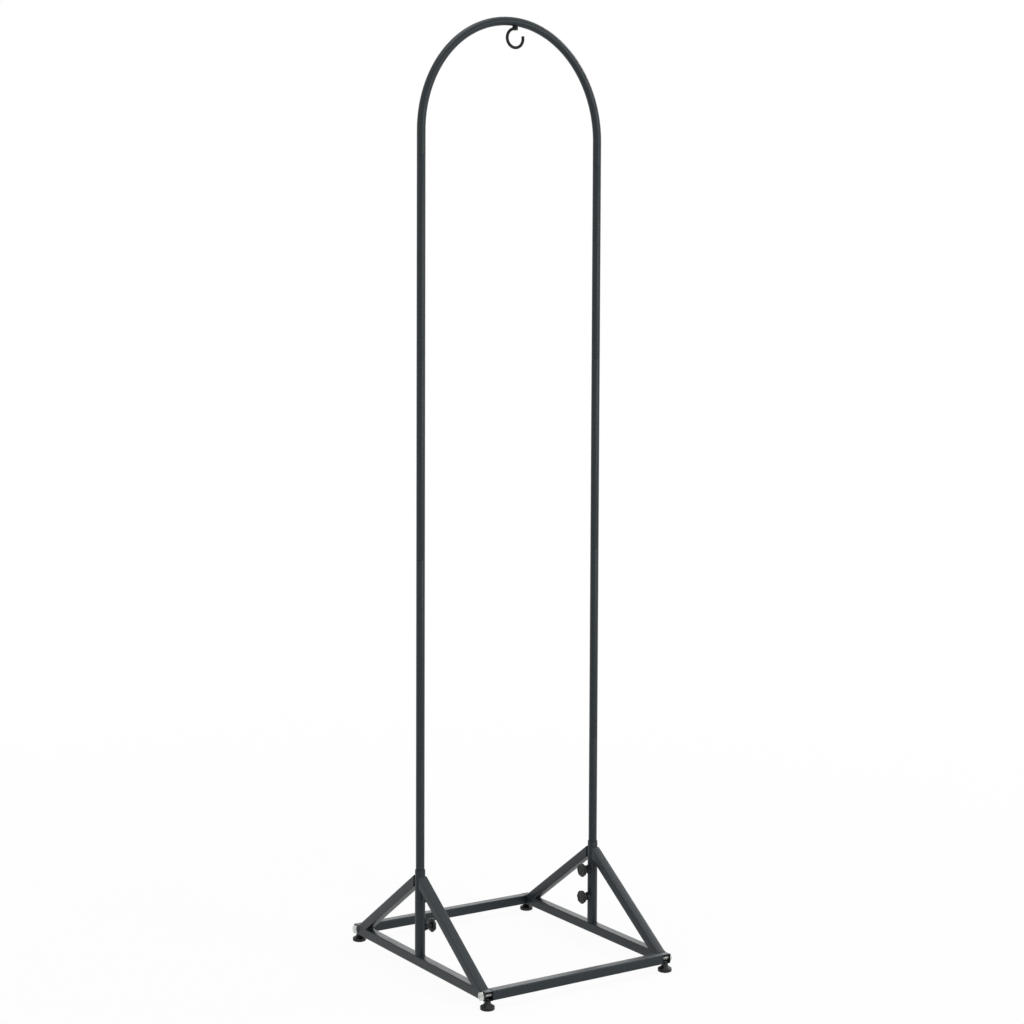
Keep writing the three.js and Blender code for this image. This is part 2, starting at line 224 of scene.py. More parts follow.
class ShaderGraph(Graph):
    """The node tree of a material with one main shader."""

    def __init__(self, name: str) -> None:
        """Makes an empty material.

        Args:
            name: the material's name.
        """
        self.material = bpy.data.materials.new(name)
        self.material.use_nodes = True
        super().__init__(self.material.node_tree)
        self.tree.nodes.clear()
        self.output = self.node("ShaderNodeOutputMaterial")

    def place(self, scale: tuple[float, float, float] = (1.0, 1.0, 1.0)) -> bpy.types.NodeSocket:
        """The point on the object in metres.

        Args:
            scale: how much finer a pattern gets along each axis.

        Returns:
            The point's socket.
        """
        where = self.node("ShaderNodeTexCoord").outputs["Object"]
        mapping = self.node("ShaderNodeMapping", {}, {"Vector": where, "Scale": scale})
        return mapping.outputs["Vector"]

    def noise(self, place: bpy.types.NodeSocket, size_mm: float, detail: float = 2.0) -> Wire:
        """Noise about 0.5 at a place, with features of a size and a number of finer layers."""
        inputs = {"Vector": place, "Scale": 1.0 / (size_mm * MM), "Detail": detail}
        return Wire(self, self.node("ShaderNodeTexNoise", {}, inputs).outputs["Fac"])

    def blend(
        self, share: Wire, low: tuple[float, float, float], high: tuple[float, float, float]
    ) -> bpy.types.NodeSocket:
        """Mixes two colours by a share."""
        inputs = {0: share, 6: (*low, 1.0), 7: (*high, 1.0)}
        return self.node("ShaderNodeMix", {"data_type": "RGBA"}, inputs).outputs[2]

    def bump(self, height: Wire, depth_mm: float) -> bpy.types.NodeSocket:
        """The normal of a relief from 0 to 1, where 1 stands for a depth in millimetres."""
        inputs = {"Height": height, "Distance": depth_mm * MM, "Strength": 1.0}
        return self.node("ShaderNodeBump", {}, inputs).outputs["Normal"]

    def principled(self, inputs: dict[str | int, object]) -> bpy.types.Material:
        """Closes the material with the main shader.

        Args:
            inputs: the shader's inputs, by name.

        Returns:
            The material.
        """
        shader = self.node("ShaderNodeBsdfPrincipled", {}, inputs)
        self.feed(self.output.inputs["Surface"], shader.outputs["BSDF"])
        return self.material


# ---------- finishes ----------
@dataclass(frozen=True)
class PowderCoat:
    """Anthracite powder coat: a satin film with a fine orange-peel relief."""

    slot: Slot = Slot.POWDER_COAT
    low: tuple[float, float, float] = (0.0105, 0.0160, 0.0200)
    high: tuple[float, float, float] = (0.0175, 0.0238, 0.0295)
    sheen: tuple[float, float, float] = (0.96, 0.99, 1.0)
    roughness: float = 0.40
    spread: float = 0.12
    specular: float = 0.3
    peel_mm: float = 1.6
    grit_mm: float = 0.35
    cloud_mm: float = 60.0
    depth_mm: float = 0.035
    grit_share: float = 0.25
    cloud_weight: float = 0.7
    peel_weight: float = 0.5
    offset: float = 0.1

    def build(self) -> bpy.types.Material:
        """Makes the material.

        Returns:
            The material.
        """
        graph = ShaderGraph(self.slot.value)
        place = graph.place()
        peel = graph.noise(place, self.peel_mm)
        grit = graph.noise(place, self.grit_mm, 1.0)
        cloud = graph.noise(place, self.cloud_mm, 3.0)
        relief = peel * (1 - self.grit_share) + grit * self.grit_share
        share = (cloud * self.cloud_weight + peel * self.peel_weight - self.offset).clamped()
        uneven = (cloud - 0.5 + (grit - 0.5)) * self.spread
        return graph.principled(
            {
                "Base Color": graph.blend(share, self.low, self.high),
                "Roughness": self.roughness + uneven,
                "Normal": graph.bump(relief, self.depth_mm),
                "Specular IOR Level": self.specular,
                "Specular Tint": (*self.sheen, 1.0),
            }
        )


@dataclass(frozen=True)
class ZincPlate:
    """Bright zinc plate with a faint passivation tint and forging marks."""

    slot: Slot = Slot.ZINC
    low: tuple[float, float, float] = (0.34, 0.36, 0.35)
    high: tuple[float, float, float] = (0.72, 0.73, 0.68)
    roughness: float = 0.30
    spread: float = 0.16
    contrast: float = 2.6
    tint_mm: float = 7.0
    mark_mm: float = 1.4
    mark_stretch: tuple[float, float, float] = (1.0, 6.0, 1.0)
    crystal_mm: float = 0.4
    depth_mm: float = 0.03

    def build(self) -> bpy.types.Material:
        """Makes the material.

        Returns:
            The material.
        """
        graph = ShaderGraph(self.slot.value)
        place = graph.place()
        tint = graph.noise(place, self.tint_mm, 3.0)
        marks = graph.noise(graph.place(self.mark_stretch), self.mark_mm, 3.0)
        crystals = graph.noise(place, self.crystal_mm, 1.0)
        return graph.principled(
            {
                "Base Color": graph.blend(tint.contrasted(self.contrast), self.low, self.high),
                "Metallic": 1.0,
                "Roughness": self.roughness + (marks - 0.5) * self.spread,
                "Normal": graph.bump(marks * 0.6 + crystals * 0.4, self.depth_mm),
            }
        )


@dataclass(frozen=True)
class MouldedPlastic:
    """Black moulded plastic with a spark-eroded grain and faint flow clouds."""

    slot: Slot = Slot.BLACK_PLASTIC
    low: tuple[float, float, float] = (0.006, 0.007, 0.008)
    high: tuple[float, float, float] = (0.012, 0.013, 0.014)
    roughness: float = 0.38
    spread: float = 0.14
    specular: float = 0.27
    contrast: float = 1.4
    grain_mm: float = 0.30
    grain_spread: float = 0.10
    flow_mm: float = 6.0
    flow_stretch: tuple[float, float, float] = (1.0, 1.0, 0.35)
    depth_mm: float = 0.02

    def build(self) -> bpy.types.Material:
        """Makes the material.

        Returns:
            The material.
        """
        graph = ShaderGraph(self.slot.value)
        place = graph.place()
        grain = graph.noise(place, self.grain_mm)
        flow = graph.noise(graph.place(self.flow_stretch), self.flow_mm, 4.0)
        uneven = (flow - 0.5) * self.spread + (grain - 0.5) * self.grain_spread
        return graph.principled(
            {
                "Base Color": graph.blend(flow.contrasted(self.contrast), self.low, self.high),
                "Roughness": self.roughness + uneven,
                "Normal": graph.bump(grain, self.depth_mm),
                "Specular IOR Level": self.specular,
            }
        )


@dataclass(frozen=True)
class BlackSteel:
    """Black coated steel with a thin glossy film, a little uneven."""

    slot: Slot = Slot.BLACK_STEEL
    low: tuple[float, float, float] = (0.006, 0.007, 0.008)
    high: tuple[float, float, float] = (0.012, 0.013, 0.014)
    roughness: float = 0.34
    spread: float = 0.18
    specular: float = 0.16
    contrast: float = 1.5
    film_mm: float = 2.4
    pit_mm: float = 0.5
    depth_mm: float = 0.03

    def build(self) -> bpy.types.Material:
        """Makes the material.

        Returns:
            The material.
        """
        graph = ShaderGraph(self.slot.value)
        place = graph.place()
        film = graph.noise(place, self.film_mm, 3.0)
        pits = graph.noise(place, self.pit_mm)
        return graph.principled(
            {
                "Base Color": graph.blend(film.contrasted(self.contrast), self.low, self.high),
                "Roughness": self.roughness + (film - 0.5) * self.spread,
                "Normal": graph.bump(film * 0.5 + pits * 0.5, self.depth_mm),
                "Specular IOR Level": self.specular,
            }
        )


class Finishes:
    """The materials of all the pieces, by slot."""

    def __init__(self) -> None:
        """Builds each finish once."""
        kinds = (PowderCoat(), ZincPlate(), MouldedPlastic(), BlackSteel())
        self.materials = {kind.slot: kind.build() for kind in kinds}

    def of(self, slot: Slot) -> bpy.types.Material:
        """The material of a slot."""
        return self.materials[slot]


# ---------- profiles and closed forms ----------
Point = tuple[float, float]


def rounded(points: Sequence[Point], radius: float, looped: bool, steps: int = 3) -> list[Point]:
    """Rounds the corners of a profile.

    Args:
        points: the profile's corners, as radius and height.
        radius: how far each rounding reaches along its edges.
        looped: whether the last point joins the first.
        steps: how many edges each rounding has.

    Returns:
        The profile with an arc at each corner. The ends of an open profile stay sharp.
    """
    count = len(points)
    longest = 0.45  # of an edge, so that two roundings never meet
    out: list[Point] = []
    for i, point in enumerate(points):
        if not looped and i in (0, count - 1):
            out.append(point)
            continue
        here = Vector(point)
        before = Vector(points[i - 1]) - here
        after = Vector(points[(i + 1) % count]) - here
        reach = min(radius, longest * before.length, longest * after.length)
        start = here + before.normalized() * reach
        stop = here + after.normalized() * reach
        for k in range(steps + 1):
            t = k / steps
            spot = start * (1 - t) ** 2 + here * (2 * t * (1 - t)) + stop * t**2
            out.append((spot.x, spot.y))
    return out


def even_shares(steps: int) -> list[float]:
    """Even shares from -1 to 1, with as many steps on each side of 0."""
    return [k / steps - 1 for k in range(2 * steps + 1)]


def ring(radius: float, height: float, facets: int) -> list[Vector]:
    """A circle of points about Z."""
    step = 2 * math.pi / facets
    return [Vector((radius * math.cos(k * step), radius * math.sin(k * step), height)) for k in range(facets)]


class Form:
    """A closed shell in millimetres that can be moved, copied and cut."""

    def __init__(self, mesh: bpy.types.Mesh) -> None:
        """Keeps the mesh."""
        self.mesh = mesh

    @classmethod
    def loft(cls, rings: Sequence[Sequence[Vector]], looped: bool) -> Form:
        """Joins rings of equal length with quads.

        Args:
            rings: the closed sections in order.
            looped: joins the last ring to the first. Otherwise both ends are closed flat.

        Returns:
            The form, with its faces outwards.
        """
        shell = bmesh.new()
        rows = [[shell.verts.new(point) for point in row] for row in rings]
        count = len(rows[0])
        pairs = list(zip(rows, rows[1:]))
        if looped:
            pairs.append((rows[-1], rows[0]))
        else:
            shell.faces.new(rows[0][::-1])
            shell.faces.new(rows[-1])
        for low, high in pairs:
            for k in range(count):
                after = (k + 1) % count
                shell.faces.new((low[k], low[after], high[after], high[k]))
        bmesh.ops.recalc_face_normals(shell, faces=shell.faces)
        return cls.from_shell(shell)

    @classmethod
    def from_shell(cls, shell: bmesh.types.BMesh) -> Form:
        """Takes over an edited mesh.

        Args:
            shell: the edited mesh, which is freed.

        Returns:
            The form.
        """
        mesh = bpy.data.meshes.new("form")
        shell.to_mesh(mesh)
        shell.free()
        return cls(mesh)

    @classmethod
    def turned(cls, profile: Sequence[Point], looped: bool = False, facets: int = 64) -> Form:
        """A body of revolution about Z, of radii and heights. An open profile's ends are closed flat."""
        return cls.loft([ring(radius, height, facets) for radius, height in profile], looped)

    @classmethod
    def rod(cls, diameter: float, low: float, high: float, facets: int = 48) -> Form:
        """A plain cylinder along Z."""
        return cls.turned([(diameter / 2, low), (diameter / 2, high)], facets=facets)

    @classmethod
    def block(cls, low: Sequence[float], high: Sequence[float]) -> Form:
        """A box between two corners."""
        corners = [(low[0], low[1]), (high[0], low[1]), (high[0], high[1]), (low[0], high[1])]
        return cls.loft([[Vector((x, y, z)) for x, y in corners] for z in (low[2], high[2])], False)

    def copy(self) -> Form:
        """A form of its own with the same shape."""
        return Form(self.mesh.copy())

    def moved(self, *steps: Matrix) -> Form:
        """A moved copy. A mirrored one has its faces turned out again.

        Args:
            steps: the moves and turns, in the order that they are done.

        Returns:
            The copy.
        """
        made = self.copy()
        for step in steps:
            made.mesh.transform(step)
            if step.determinant() < 0:
                made.mesh.flip_normals()
        return made

    def cut(self, tool: Form, how: Cut = Cut.AWAY) -> Form:
        """Combines this form with another.

        Args:
            tool: the other form.
            how: whether it is cut away, joined, or only the common part stays.

        Returns:
            The result as a new form.
        """
        base = bpy.data.objects.new("base", self.mesh)
        other = bpy.data.objects.new("tool", tool.mesh)
        for item in (base, other):
            bpy.context.scene.collection.objects.link(item)
        step = base.modifiers.new("cut", "BOOLEAN")
        step.solver = "EXACT"
        step.operation = how.value
        step.object = other
        graph = bpy.context.evaluated_depsgraph_get()
        mesh = bpy.data.meshes.new_from_object(base.evaluated_get(graph))
        for item in (base, other):
            bpy.data.objects.remove(item)
        return Form(mesh)


def shift(x: float = 0.0, y: float = 0.0, z: float = 0.0) -> Matrix:
    """A move."""
    return Matrix.Translation((x, y, z))


def turn(degrees: float, axis: str) -> Matrix:
    """A turn about an axis through the origin."""
    return Matrix.Rotation(math.radians(degrees), 4, axis)


def mirror(axis: str) -> Matrix:
    """A mirror image along an axis."""
    scale = [-1.0 if name == axis else 1.0 for name in "XYZ"]
    return Matrix.Diagonal((*scale, 1.0))


def outward(sign: float) -> Matrix:
    """The turn that lays what stands along +Z along +X, or along -X where the sign is negative."""
    return turn(90 * sign, "Y")


def sweep(path: Sequence[Vector], normal: Vector, radii: Sequence[float], facets: int) -> list[list[Vector]]:
    """Round sections along a path that lies in a plane.

    Args:
        path: the centre line.
        normal: the direction square to the path's plane.
        radii: the section's radius at each point.
        facets: the section's sides.

    Returns:
        The sections in order.
    """
    rings = []
    last = len(path) - 1
    for i, point in enumerate(path):
        along = (path[min(i + 1, last)] - path[max(i - 1, 0)]).normalized()
        across = normal.cross(along).normalized()
        section = [
            point + radii[i] * (math.cos(a) * across + math.sin(a) * normal)
            for a in (2 * math.pi * k / facets for k in range(facets))
        ]
        rings.append(section)
    return rings


# ---------- putting pieces on the model ----------
class Bench:
    """Dresses finished forms and puts them on the bodies of the model."""

    def __init__(self, finishes: Finishes) -> None:
        """Keeps the finishes."""
        self.finishes = finishes

    def put(self, name: str, form: Form, slot: Slot, body: str, *nodes: str) -> bpy.types.Object:
        """Makes a piece of a form.

        Args:
            name: the piece's name.
            form: its shape in millimetres, in place.
            slot: the finish that it takes.
            body: the body that it rides on.
            nodes: the nodes of the model that it stands for.

        Returns:
            The piece.
        """
        mesh = form.mesh.copy()
        mesh.name = name
        mesh.transform(Matrix.Scale(MM, 4))
        mesh.shade_smooth()
        mesh.set_sharp_from_angle(angle=SHARP_ANGLE)
        mesh.materials.clear()
        mesh.materials.append(self.finishes.of(slot))
        piece = bpy.data.objects.new(name, mesh)
        bpy.context.scene.collection.objects.link(piece)
        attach(piece, body)
        if nodes:
            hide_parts(*nodes)
        log.info("%s: %d faces on %s", name, len(mesh.polygons), body)
        return piece

    def keep(self, node: str, slot: Slot) -> None:
        """Gives a node of the model that stays the finish of a slot.

        Args:
            node: the node's name.
            slot: the finish that it takes.
        """
        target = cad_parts[node]
        if not target.material_slots:
            target.data.materials.append(self.finishes.of(slot))
        for place in target.material_slots:
            place.material = self.finishes.of(slot)
        log.info("%s keeps its shape", node)


# ---------- geometry node tools ----------
class GeometryTool(Graph):
    """A geometry group with named inputs that turns a path or nothing into a form."""

    def __init__(self, name: str) -> None:
        """Makes an empty group.

        Args:
            name: the group's name.
        """
        super().__init__(bpy.data.node_groups.new(name, "GeometryNodeTree"))
        self.tree.interface.new_socket("Geometry", in_out="INPUT", socket_type="NodeSocketGeometry")
        self.tree.interface.new_socket("Geometry", in_out="OUTPUT", socket_type="NodeSocketGeometry")
        self.entry = self.node("NodeGroupInput")
        self.exit = self.node("NodeGroupOutput")
        self.identifiers: dict[str, str] = {}

    def add_input(self, name: str, kind: str = "NodeSocketFloat") -> None:
        """Adds a named input."""
        socket = self.tree.interface.new_socket(name, in_out="INPUT", socket_type=kind)
        self.identifiers[name] = socket.identifier

    def read(self, name: str) -> Wire:
        """The value of a named input."""
        return Wire(self, self.entry.outputs[name])

    def close(self, geometry: bpy.types.NodeSocket) -> None:
        """Ends the group with real geometry in its finish.

        Args:
            geometry: what the group made.
        """
        real = self.node("GeometryNodeRealizeInstances", {}, {"Geometry": geometry})
        finish = {"Geometry": real.outputs[0], "Material": self.entry.outputs["Finish"]}
        dressed = self.node("GeometryNodeSetMaterial", {}, finish)
        self.feed(self.exit.inputs["Geometry"], dressed.outputs[0])

    def run(self, base: bpy.types.Mesh, values: dict[str, object]) -> Form:
        """Runs the group on a mesh.

        Args:
            base: the mesh that the group starts from.
            values: the inputs by name.

        Returns:
            The result as a plain form.
        """
        carrier = bpy.data.objects.new("carrier", base)
        bpy.context.scene.collection.objects.link(carrier)
        step = carrier.modifiers.new("tool", "NODES")
        step.node_group = self.tree
        for name, value in values.items():
            step[self.identifiers[name]] = value
        graph = bpy.context.evaluated_depsgraph_get()
        mesh = bpy.data.meshes.new_from_object(carrier.evaluated_get(graph))
        carrier.modifiers.remove(step)
        bpy.data.objects.remove(carrier)
        return Form(mesh)


class ThreadTool(GeometryTool):
    """Cuts a metric thread along a rod that is centred on the origin.

    The crests and roots are cut off by a share of the flank, and the depth is a share of the pitch.
    """

    sides = 36
    rows_per_turn = 9
    fewest_rows = 4
    depth_share = 0.54
    flat_share = 0.15

    def __init__(self) -> None:
        """Builds the group: a cylinder whose side is drawn in along a helix and at both ends."""
        super().__init__("thread")
        for name in ("Length", "Diameter", "Pitch", "Depth"):
            self.add_input(name)
        self.add_input("Rows", "NodeSocketInt")
        self.add_input("Finish", "NodeSocketMaterial")
        length, pitch, depth = self.read("Length"), self.read("Pitch"), self.read("Depth")
        outer = self.read("Diameter") * 0.5
        blank = self.node(
            "GeometryNodeMeshCylinder",
            {"fill_type": "NGON"},
            {"Vertices": self.sides, "Side Segments": self.read("Rows"), "Radius": outer, "Depth": length},
        )
        split = self.node("ShaderNodeSeparateXYZ", {}, {0: self.node("GeometryNodeInputPosition").outputs[0]})
        x, y, z = (Wire(self, split.outputs[k]) for k in range(3))
        angle = self.math("ARCTAN2", y, x)
        phase = self.math("FRACT", z / pitch - angle / (2 * math.pi))
        flank = self.math("ABSOLUTE", phase * 2.0 - 1.0)
        crest = (flank * (1 + 2 * self.flat_share) - self.flat_share).clamped()
        ends = ((length * 0.5 - self.math("ABSOLUTE", z)) / pitch).clamped()
        radius = outer - depth * (1.0 - crest * ends)
        place = self.node(
            "ShaderNodeCombineXYZ",
            {},
            {0: self.math("COSINE", angle) * radius, 1: self.math("SINE", angle) * radius, 2: z},
        )
        cut = self.node(
            "GeometryNodeSetPosition", {}, {"Geometry": blank.outputs["Mesh"], "Position": place.outputs[0]}
        )
        self.close(cut.outputs[0])

    def rod(self, diameter: float, pitch: float, low: float, high: float, finish: bpy.types.Material) -> Form:
        """A threaded rod along Z.

        Args:
            diameter: over the thread.
            pitch: of the thread.
            low: where the rod starts.
            high: where it ends.
            finish: its material.

        Returns:
            The form.
        """
        length = high - low
        values = {
            "Length": length,
            "Diameter": diameter,
            "Pitch": pitch,
            "Depth": self.depth_share * pitch,
            "Rows": max(self.fewest_rows, round(length / pitch * self.rows_per_turn)),
            "Finish": finish,
        }
        return self.run(bpy.data.meshes.new("blank"), values).moved(shift(z=(low + high) / 2))


class BeadTool(GeometryTool):
    """Lays weld beads with their ripples along the edges of a path mesh."""

    sides = 12
    ripple = 1.6  # the length of a ripple
    step = 0.4  # between a bead's sections
    trough_share = 0.88  # the radius between two ripples
    end_share = 0.45  # the radius at the very end
    taper_share = 1.2  # how far an end thins out, in radii
    unevenness_share = 0.5  # of the radius
    unevenness_scale = 0.35  # of the noise, per millimetre

    def __init__(self) -> None:
        """Builds the group: each path becomes a rippled round bead that thins out at its ends."""
        super().__init__("weld_bead")
        for name in ("Radius", "Ripple", "Step", "Unevenness", "Seed"):
            self.add_input(name)
        self.add_input("Finish", "NodeSocketMaterial")
        radius, ripple = self.read("Radius"), self.read("Ripple")
        curve = self.node("GeometryNodeMeshToCurve", {}, {"Mesh": self.entry.outputs["Geometry"]})
        fine = self.node(
            "GeometryNodeResampleCurve",
            {"mode": "LENGTH"},
            {"Curve": curve.outputs[0], "Length": self.read("Step")},
        )
        run = Wire(self, self.node("GeometryNodeSplineParameter").outputs["Length"])
        whole = Wire(self, self.node("GeometryNodeSplineLength").outputs["Length"])
        wave = self.math("ABSOLUTE", self.math("SINE", run * math.pi / ripple))
        ends = (self.math("MINIMUM", run, whole - run) / (radius * self.taper_share)).clamped()
        rippled = radius * (self.trough_share + wave * (1 - self.trough_share))
        tapered = rippled * (self.end_share + ends * (1 - self.end_share))
        thick = self.node("GeometryNodeSetCurveRadius", {}, {"Curve": fine.outputs[0], "Radius": tapered})
        section = self.node(
            "GeometryNodeCurvePrimitiveCircle", {"mode": "RADIUS"}, {"Resolution": self.sides, "Radius": 1.0}
        )
        solid = self.node(
            "GeometryNodeCurveToMesh",
            {},
            {"Curve": thick.outputs[0], "Profile Curve": section.outputs[0], "Fill Caps": True},
        )
        rough = self.node(
            "ShaderNodeTexNoise",
            {"noise_dimensions": "4D"},
            {"W": self.read("Seed"), "Scale": self.unevenness_scale, "Detail": 1.0},
        )
        centred = self.node(
            "ShaderNodeVectorMath", {"operation": "SUBTRACT"}, {0: rough.outputs["Color"], 1: (0.5, 0.5, 0.5)}
        )
        moved = self.node(
            "ShaderNodeVectorMath",
            {"operation": "SCALE"},
            {0: centred.outputs[0], "Scale": self.read("Unevenness")},
        )
        uneven = self.node(
            "GeometryNodeSetPosition", {}, {"Geometry": solid.outputs[0], "Offset": moved.outputs[0]}
        )
        self.close(uneven.outputs[0])

    def lay(
        self, paths: Sequence[Sequence[Vector]], radius: float, seed: float, finish: bpy.types.Material
    ) -> Form:
        """Beads along paths.

        Args:
            paths: the points of each bead's centre line.
            radius: of a bead.
            seed: picks the bead's unevenness.
            finish: its material.

        Returns:
            The beads as one form.
        """
        shell = bmesh.new()
        for path in paths:
            points = [shell.verts.new(point) for point in path]
            for start, stop in zip(points, points[1:]):
                shell.edges.new((start, stop))
        base = bpy.data.meshes.new("paths")
        shell.to_mesh(base)
        shell.free()
        values = {
            "Radius": radius,
            "Ripple": self.ripple,
            "Step": self.step,
            "Unevenness": self.unevenness_share * radius,
            "Seed": seed,
            "Finish": finish,
        }
        return self.run(base, values)


# ---------- shapes that several assemblies use ----------
@dataclass(frozen=True)
class SquareTube:
    """Square tube with rounded corners and eased ends."""

    side: float = 21.0
    wall: float = 1.5
    corner: float = 2.2
    least_corner: float = 0.4
    ease: float = 0.25
    corner_steps: int = 6

    def outline(self, inset: float) -> list[Point]:
        """The section's outline.

        Args:
            inset: how far it is drawn in.

        Returns:
            The points, counterclockwise.
        """
        radius = max(self.corner - inset, self.least_corner)
        reach = self.side / 2 - inset - radius
        points = []
        for quarter in range(4):
            for k in range(self.corner_steps + 1):
                angle = math.pi / 2 * (quarter + k / self.corner_steps)
                sign_x = 1 if quarter in (0, 3) else -1
                sign_y = 1 if quarter in (0, 1) else -1
                x = sign_x * reach + radius * math.cos(angle)
                y = sign_y * reach + radius * math.sin(angle)
                points.append((x, y))
        return points

    def form(self, low: float, high: float) -> Form:
        """The open tube along Z.

        Args:
            low: the height of one end.
            high: the height of the other.

        Returns:
            The tube.
        """
        stations = [
            (0.0, low + self.ease),
            (0.0, high - self.ease),
            (self.ease, high),
            (self.wall, high),
            (self.wall, low),
            (self.ease, low),
        ]
        rings = [[Vector((x, y, z)) for x, y in self.outline(inset)] for inset, z in stations]
        return Form.loft(rings, True)


@dataclass(frozen=True)
class Hexagon:
    """A hexagon head or nut along +Z from 0, with turned-off corners."""

    flats: float
    height: float
    both_ends: bool = False
    top_share: float = 0.95  # the top face's width over the flats
    foot_share: float = 0.97  # the same of a nut's lower face
    chamfer: float = 0.58  # rise over run, of about 30 degrees
    square_foot: float = 0.35  # what stays sharp under a head
    beyond: float = 0.02  # how far the turned blank stands out past the corners

    def form(self) -> Form:
        """The prism with its corners turned off.

        Returns:
            The head or nut, without a bore.
        """
        corner = self.flats / math.sqrt(3)
        prism = Form.turned([(corner, 0.0), (corner, self.height)], facets=6)
        face = self.flats / 2 * self.foot_share
        slope = (corner - face) * self.chamfer
        foot, low = (face, slope) if self.both_ends else (corner, self.square_foot)
        profile = [
            (foot, 0.0),
            (corner + self.beyond, low),
            (corner + self.beyond, self.height - slope),
            (self.flats / 2 * self.top_share, self.height),
        ]
        return prism.cut(Form.turned(profile, facets=96), Cut.COMMON)


def hollow(outer: float, inner: float, low: float, high: float, ease: float = 0.35) -> list[Point]:
    """The closed profile of a round tube with eased ends."""
    corners = [(inner / 2, low), (outer / 2, low), (outer / 2, high), (inner / 2, high)]
    return rounded(corners, ease, True)


# ---------- base ----------
@dataclass(frozen=True)
class Base:
    """Places that the base's assemblies share."""

    rail_x: float = 232.0
    bar_y: float = 274.0
    rail_bottom: float = 19.0
    rail_top: float = 40.0
    foot_offset: float = 3.5
    sleeve_outer: float = 22.6
    bolt: float = 10.0
    stud: float = 8.0
    screw: float = 10.0
    clearance: float = 0.3

    @property
    def rail_middle(self) -> float:
        """The height of the rails' axis."""
        return (self.rail_bottom + self.rail_top) / 2

    @property
    def foot_y(self) -> float:
        """The feet's distance from the middle."""
        return self.bar_y + self.foot_offset


